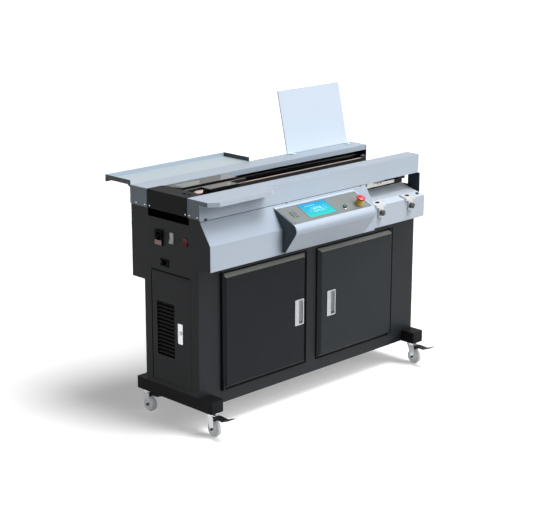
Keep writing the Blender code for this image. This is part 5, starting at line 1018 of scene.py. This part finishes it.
@dataclass
class Infeed(Assembly):
    """Stop blocks, knobs, the table's button and the bar under the beam at the right."""

    numbers: tuple[int, int] = (1, 2)
    knob_cap: Pairs = ((9.5, -0.2), (9.5, 0.8), (8.2, 1.6), (3.0, 1.9))
    bar_top: float = 856.0
    bar_screw: float = 3.0 * MM
    bar_screws: Pair = (1057.0, 1077.0)
    bar_screw_drop: float = 3.5
    bar_front: float = 8.0
    latch_low: Pair = (1122.0, 8.5)
    latch_high: Pair = (1169.5, 28.0)
    latch_height: float = 12.0
    latch_corner: float = 2.0 * MM
    table: Table = Table()
    button: float = 8 * MM
    button_spot: Pair = (1262.0, -45.0)
    slot_row: Pair = (-48.8, 789.9)
    # The painted shade oval's loops in millimetres: half its length, the radius of its ends, its
    # height
    slot_loops: tuple[Point, ...] = ((8.6, 3.7, -3.0), (8.6, 3.7, 0.0), (12.2, 6.6, 0.0),
                                     (12.2, 6.6, 0.4), (11.6, 6.0, 0.7))

    def dress(self) -> None:
        """Plates the blocks and colours the knobs."""
        dress(SATIN_NICKEL, "stop_block_1", "stop_block_2")
        dress(ABS_WORN, "stop_knob_1", "stop_knob_2")

    def build(self) -> None:
        """Adds knob caps, bar screws and latch, the table's button and painted shade in the slots.
        """
        for number in self.numbers:
            name = "stop_knob_%d" % number
            knob = Corner(name)
            spot = Vector((knob.middle.x, knob.low.y, knob.middle.z))
            Fitting("knob_cap_%d" % number, ABS_WORN, name).loft(
                turned(self.knob_cap, MIDDLING), facing(spot, Way.FRONT.vector)).fit()
        spots = [self.datum.at(x, self.bar_front, self.bar_top - self.bar_screw_drop)
                 for x in self.bar_screws]
        Fitting("bar_screws", BLACKED_STEEL).screws(
            spots, Way.FRONT.vector, self.bar_screw).fit()
        Fitting("bar_latch", ABS_BLACK).slab(
            tuple(self.datum.at(*self.latch_low, self.bar_top)),
            tuple(self.datum.at(*self.latch_high, self.bar_top + self.latch_height)),
            self.latch_corner).fit()
        slope = self.table.normal()
        x, y = self.button_spot
        Fitting("table_button", BLACKED_STEEL).screws(
            [self.datum.at(x, y, self.table.height(y))], slope, self.button).fit()
        # Black ovals over the stop blocks' slots: painted shade
        loops = [oval(half * MM, radius * MM, height * MM)
                 for half, radius, height in self.slot_loops]
        for number in self.numbers:
            name = "stop_block_%d" % number
            spot = Vector((Corner(name).middle.x, *self.datum.at(0.0, *self.slot_row).yz))
            Fitting("stop_slot_%d" % number, SHADE_BLACK, name).loft(
                loops, facing(spot, slope)).fit()


@dataclass(frozen=True)
class Plate:
    """A loose plate over the carriage: finish, body, thickness and outline in millimetres."""

    name: str
    finish: Finish
    body: str
    thick: float
    outline: Pairs


@dataclass
class Channel(Assembly):
    """The channel with its carriage, jaw and stations."""

    plates: tuple[Plate, ...] = (
        Plate("jaw_wedge", PALE_PLATE, "clamp_jaw", 0.6,
              ((124, 214), (209, 214), (264, 274), (118, 274))),
        Plate("jaw_middle_plate", GREY_SHEET, "clamp_jaw", 0.9,
              ((213, 209), (308, 209), (388, 287), (276, 287), (216, 216))),
        Plate("jaw_end_plate", PALE_SHEET, "clamp_jaw", 0.6,
              ((318, 209), (400, 209), (424, 236), (424, 287), (394, 287))),
        Plate("runner_cover", ANODISED_BLOCK, "clamp_carriage", 1.0,
              ((181, 115), (262, 115), (306, 159), (222, 159))),
        Plate("runner_end_cover", PALE_PLATE, "clamp_carriage", 0.7,
              ((266, 115), (284, 115), (329, 159), (310, 159))))
    clip: Pairs = ((108, 120), (140, 120), (176, 158), (146, 162), (120, 150))
    clip_heights: Pair = (939.5, 942.0)
    knob: Pairs = ((6.0, 0.0), (6.0, 3.5), (5.0, 4.6), (2.0, 4.9))
    knob_in: float = 8.5 * MM

    def dress(self) -> None:
        """Finishes the carriage and the stations."""
        dress(BLACK_OXIDE, "clamp_carriage", "clamp_jaw")
        dress(MILLED_STEEL, "nip_plate", "milling_cutter")
        dress(CAST_ALUMINIUM, "machine_bed", "glue_tank")
        dress(PATINATED_BRASS, "glue_roller")

    def build(self) -> None:
        """Adds the plates on the jaw and the runner, the bright clip and the rail's knob."""
        top = Corner("clamp_carriage").high.z
        for plate in self.plates:
            Fitting(plate.name, plate.finish, plate.body).loft(
                [[(*self.datum.at(x, y, 0.0).xy, top + rise * MM) for x, y in plate.outline]
                 for rise in (0.0, plate.thick)]).fit()
        Fitting("bright_clip", BRONZE_STRIP, "clamp_carriage").loft(
            [[tuple(self.datum.at(x, y, z)) for x, y in self.clip]
             for z in self.clip_heights]).fit()
        rail = Corner("guide_rail")
        spot = Vector((rail.high.x - self.knob_in, rail.middle.y, rail.high.z))
        Fitting("rail_end_knob", ANODISED_BLOCK).loft(
            turned(self.knob, SMALL), facing(spot, Way.UP.vector)).fit()


@dataclass
class Board(Assembly):
    """The leaning acrylic board with the screws of its tabs."""

    screw: float = 3.2 * MM
    screw_in: Point = (18 * MM, 9 * MM, 3 * MM)

    def dress(self) -> None:
        """Gives the board its acrylic."""
        dress(ACRYLIC_SHEET, "cover_board")

    def build(self) -> None:
        """Adds a screw to each tab."""
        board = Corner("cover_board")
        across, deep, high = self.screw_in
        spots = [Vector((x, board.low.y + deep, board.low.z + high))
                 for x in (board.low.x + across, board.high.x - across)]
        Fitting("board_screws", CHROME_PLATE).screws(spots, Way.UP.vector, self.screw).fit()


@dataclass
class Casters(Assembly):
    """The four swivel casters."""

    names: tuple[str, ...] = ("front_left_caster", "rear_left_caster", "front_right_caster",
                              "rear_right_caster")
    nut: Pairs = ((6.2, 0.0), (6.2, 3.2), (5.4, 4.0))
    nut_sides: int = 6
    fork_reach: float = 3.1 * MM

    def dress(self) -> None:
        """Plates the forks, and colours wheels and pedals."""
        for name in self.names:
            dress(CHROME_PLATE, name + "_fork")
            dress(POLYURETHANE_PAINTED_GLOW, name + "_wheel")
            dress(ABS_BLACK, name + "_pedal")

    def build(self) -> None:
        """Adds the axle nuts on both sides of each fork."""
        for name in self.names:
            wheel = Corner(name + "_wheel")
            reach = wheel.high.x - wheel.middle.x + self.fork_reach
            nuts = Fitting(name + "_nuts", BLACKED_STEEL, name + "_fork")
            for way in (Way.LEFT, Way.RIGHT):
                nuts.loft(turned(self.nut, self.nut_sides),
                          facing(wheel.middle + way.vector * reach, way.vector))
            nuts.fit()


@dataclass(frozen=True)
class Lamp:
    """A broad far lamp, with the way from the object towards it."""

    name: str
    power: float
    spread: float
    way: Point

    def hang(self) -> None:
        """Adds the lamp to the scene."""
        lamp = bpy.data.lights.new(self.name, "SUN")
        lamp.energy = self.power
        lamp.angle = self.spread
        turn = Vector(self.way).to_track_quat("Z", "Y")
        placed(self.name, lamp).rotation_euler = turn.to_euler()


@dataclass
class Studio:
    """Floor, lamps, world and the camera of the photograph."""

    datum: Datum
    eye: Point = (-3605.46, -4000.45, 2206.73)
    yaw: float = 0.792368
    pitch: float = 0.266416
    roll: float = 0.0037937
    focal_pixels: float = 1454.495
    sensor_mm: float = 36.0
    photo_width: int = 560
    view_end: float = 100.0
    key: Lamp = Lamp("key_lamp", 2.80, radians(27), (0.26, -0.30, 0.92))
    fill: Lamp = Lamp("front_lamp", 1.75, radians(46), (0.34, -0.76, 0.55))
    world_level: float = 0.07
    floor_reach: float = 30.0
    floor_squares: int = 8
    # The paper that the camera sees in two shades, and the darker one that lights the machine
    paper: tuple[str, str] = ("#E6E6E7", "#EAEAEB")
    paper_unseen: str = "#7C7C7C"
    paper_light: float = 0.33
    paper_roughness: float = 0.9
    paper_specular: float = 0.1
    paper_clouds: float = 3.0
    paper_detail: float = 2.0

    def build(self) -> None:
        """Sets up everything round the machine."""
        self.build_floor()
        self.build_world()
        self.key.hang()
        self.fill.hang()
        self.build_camera()

    def build_floor(self) -> None:
        """Lays the pale floor that keeps the machine's shadow."""
        shape = bmesh.new()
        bmesh.ops.create_grid(shape, x_segments=self.floor_squares,
                              y_segments=self.floor_squares, size=self.floor_reach)
        data = bpy.data.meshes.new("studio_floor")
        shape.to_mesh(data)
        shape.free()
        placed("studio_floor", data)
        material = bpy.data.materials.new("studio_paper")
        material.use_nodes = True
        tree = material.node_tree
        shader = tree.nodes["Principled BSDF"]
        seen = self.seen(tree)
        fibre = add_node(tree, "TexNoise", {
            "Scale": self.paper_clouds, "Detail": self.paper_detail})
        shown = add_node(tree, "Mix", {
            "Factor": fibre.outputs[0], "A": linear(self.paper[0]), "B": linear(self.paper[1])},
            data_type="RGBA")
        tint = add_node(tree, "Mix", {
            "Factor": seen, "A": linear(self.paper_unseen), "B": shown.outputs["Result"]},
            data_type="RGBA")
        light = add_node(tree, "Math", {0: seen, 1: self.paper_light}, operation="MULTIPLY")
        tree.links.new(tint.outputs["Result"], shader.inputs["Base Color"])
        tree.links.new(light.outputs[0], shader.inputs["Emission Strength"])
        shader.inputs["Emission Color"].default_value = WHITE
        shader.inputs["Roughness"].default_value = self.paper_roughness
        shader.inputs["Specular IOR Level"].default_value = self.paper_specular
        data.materials.append(material)

    def seen(self, tree: NodeTree) -> NodeSocket:
        """Finds what the camera sees, also in gloss and through glass.

        Args:
            tree: The node tree of the floor or the world.

        Returns:
            One for such a ray, and else nought.
        """
        path = add_node(tree, "LightPath")
        clear = add_node(tree, "Math", {
            0: path.outputs["Is Camera Ray"], 1: path.outputs["Is Transmission Ray"]},
            operation="MAXIMUM")
        return add_node(tree, "Math", {
            0: clear.outputs[0], 1: path.outputs["Is Glossy Ray"]}, operation="MAXIMUM").outputs[0]

    def build_world(self) -> None:
        """Makes a white surrounding for the eye and for gloss, and a low even light."""
        world = bpy.data.worlds.new("studio_world")
        bpy.context.scene.world = world
        world.use_nodes = True
        tree = world.node_tree
        background = tree.nodes["Background"]
        background.inputs["Color"].default_value = WHITE
        level = add_node(tree, "MapRange", {
            0: self.seen(tree), 1: 0.0, 2: 1.0, 3: self.world_level, 4: 1.0})
        tree.links.new(level.outputs[0], background.inputs["Strength"])

    def build_camera(self) -> None:
        """Sets the camera where the photograph was taken."""
        ahead = Vector((sin(self.yaw) * cos(self.pitch), cos(self.yaw) * cos(self.pitch),
                        -sin(self.pitch)))
        side = Vector((cos(self.yaw), -sin(self.yaw), 0.0))
        up = side.cross(ahead)
        right = side * cos(self.roll) + up * sin(self.roll)
        top = up * cos(self.roll) - side * sin(self.roll)
        turn = Matrix((right, top, -ahead)).transposed().to_4x4()
        data = bpy.data.cameras.new("photo_camera")
        data.sensor_fit = "HORIZONTAL"
        data.sensor_width = self.sensor_mm
        data.lens = self.sensor_mm * self.focal_pixels / self.photo_width
        data.clip_end = self.view_end
        camera = placed("photo_camera", data)
        camera.matrix_world = Matrix.Translation(self.datum.at(*self.eye)) @ turn
        bpy.context.scene.camera = camera


def main() -> None:
    """Builds and dresses every sub-assembly, then the studio round them."""
    logging.basicConfig(level=logging.INFO, format="%(name)s: %(message)s")
    datum = Datum()
    for kind in (Covers, LeftPanel, Front, Console, Infeed, Channel, Board, Casters):
        assembly = kind(datum)
        assembly.dress()
        assembly.build()
    Studio(datum).build()
    bpy.context.scene.view_settings.view_transform = "Standard"


if __name__ == "__main__":
    main()
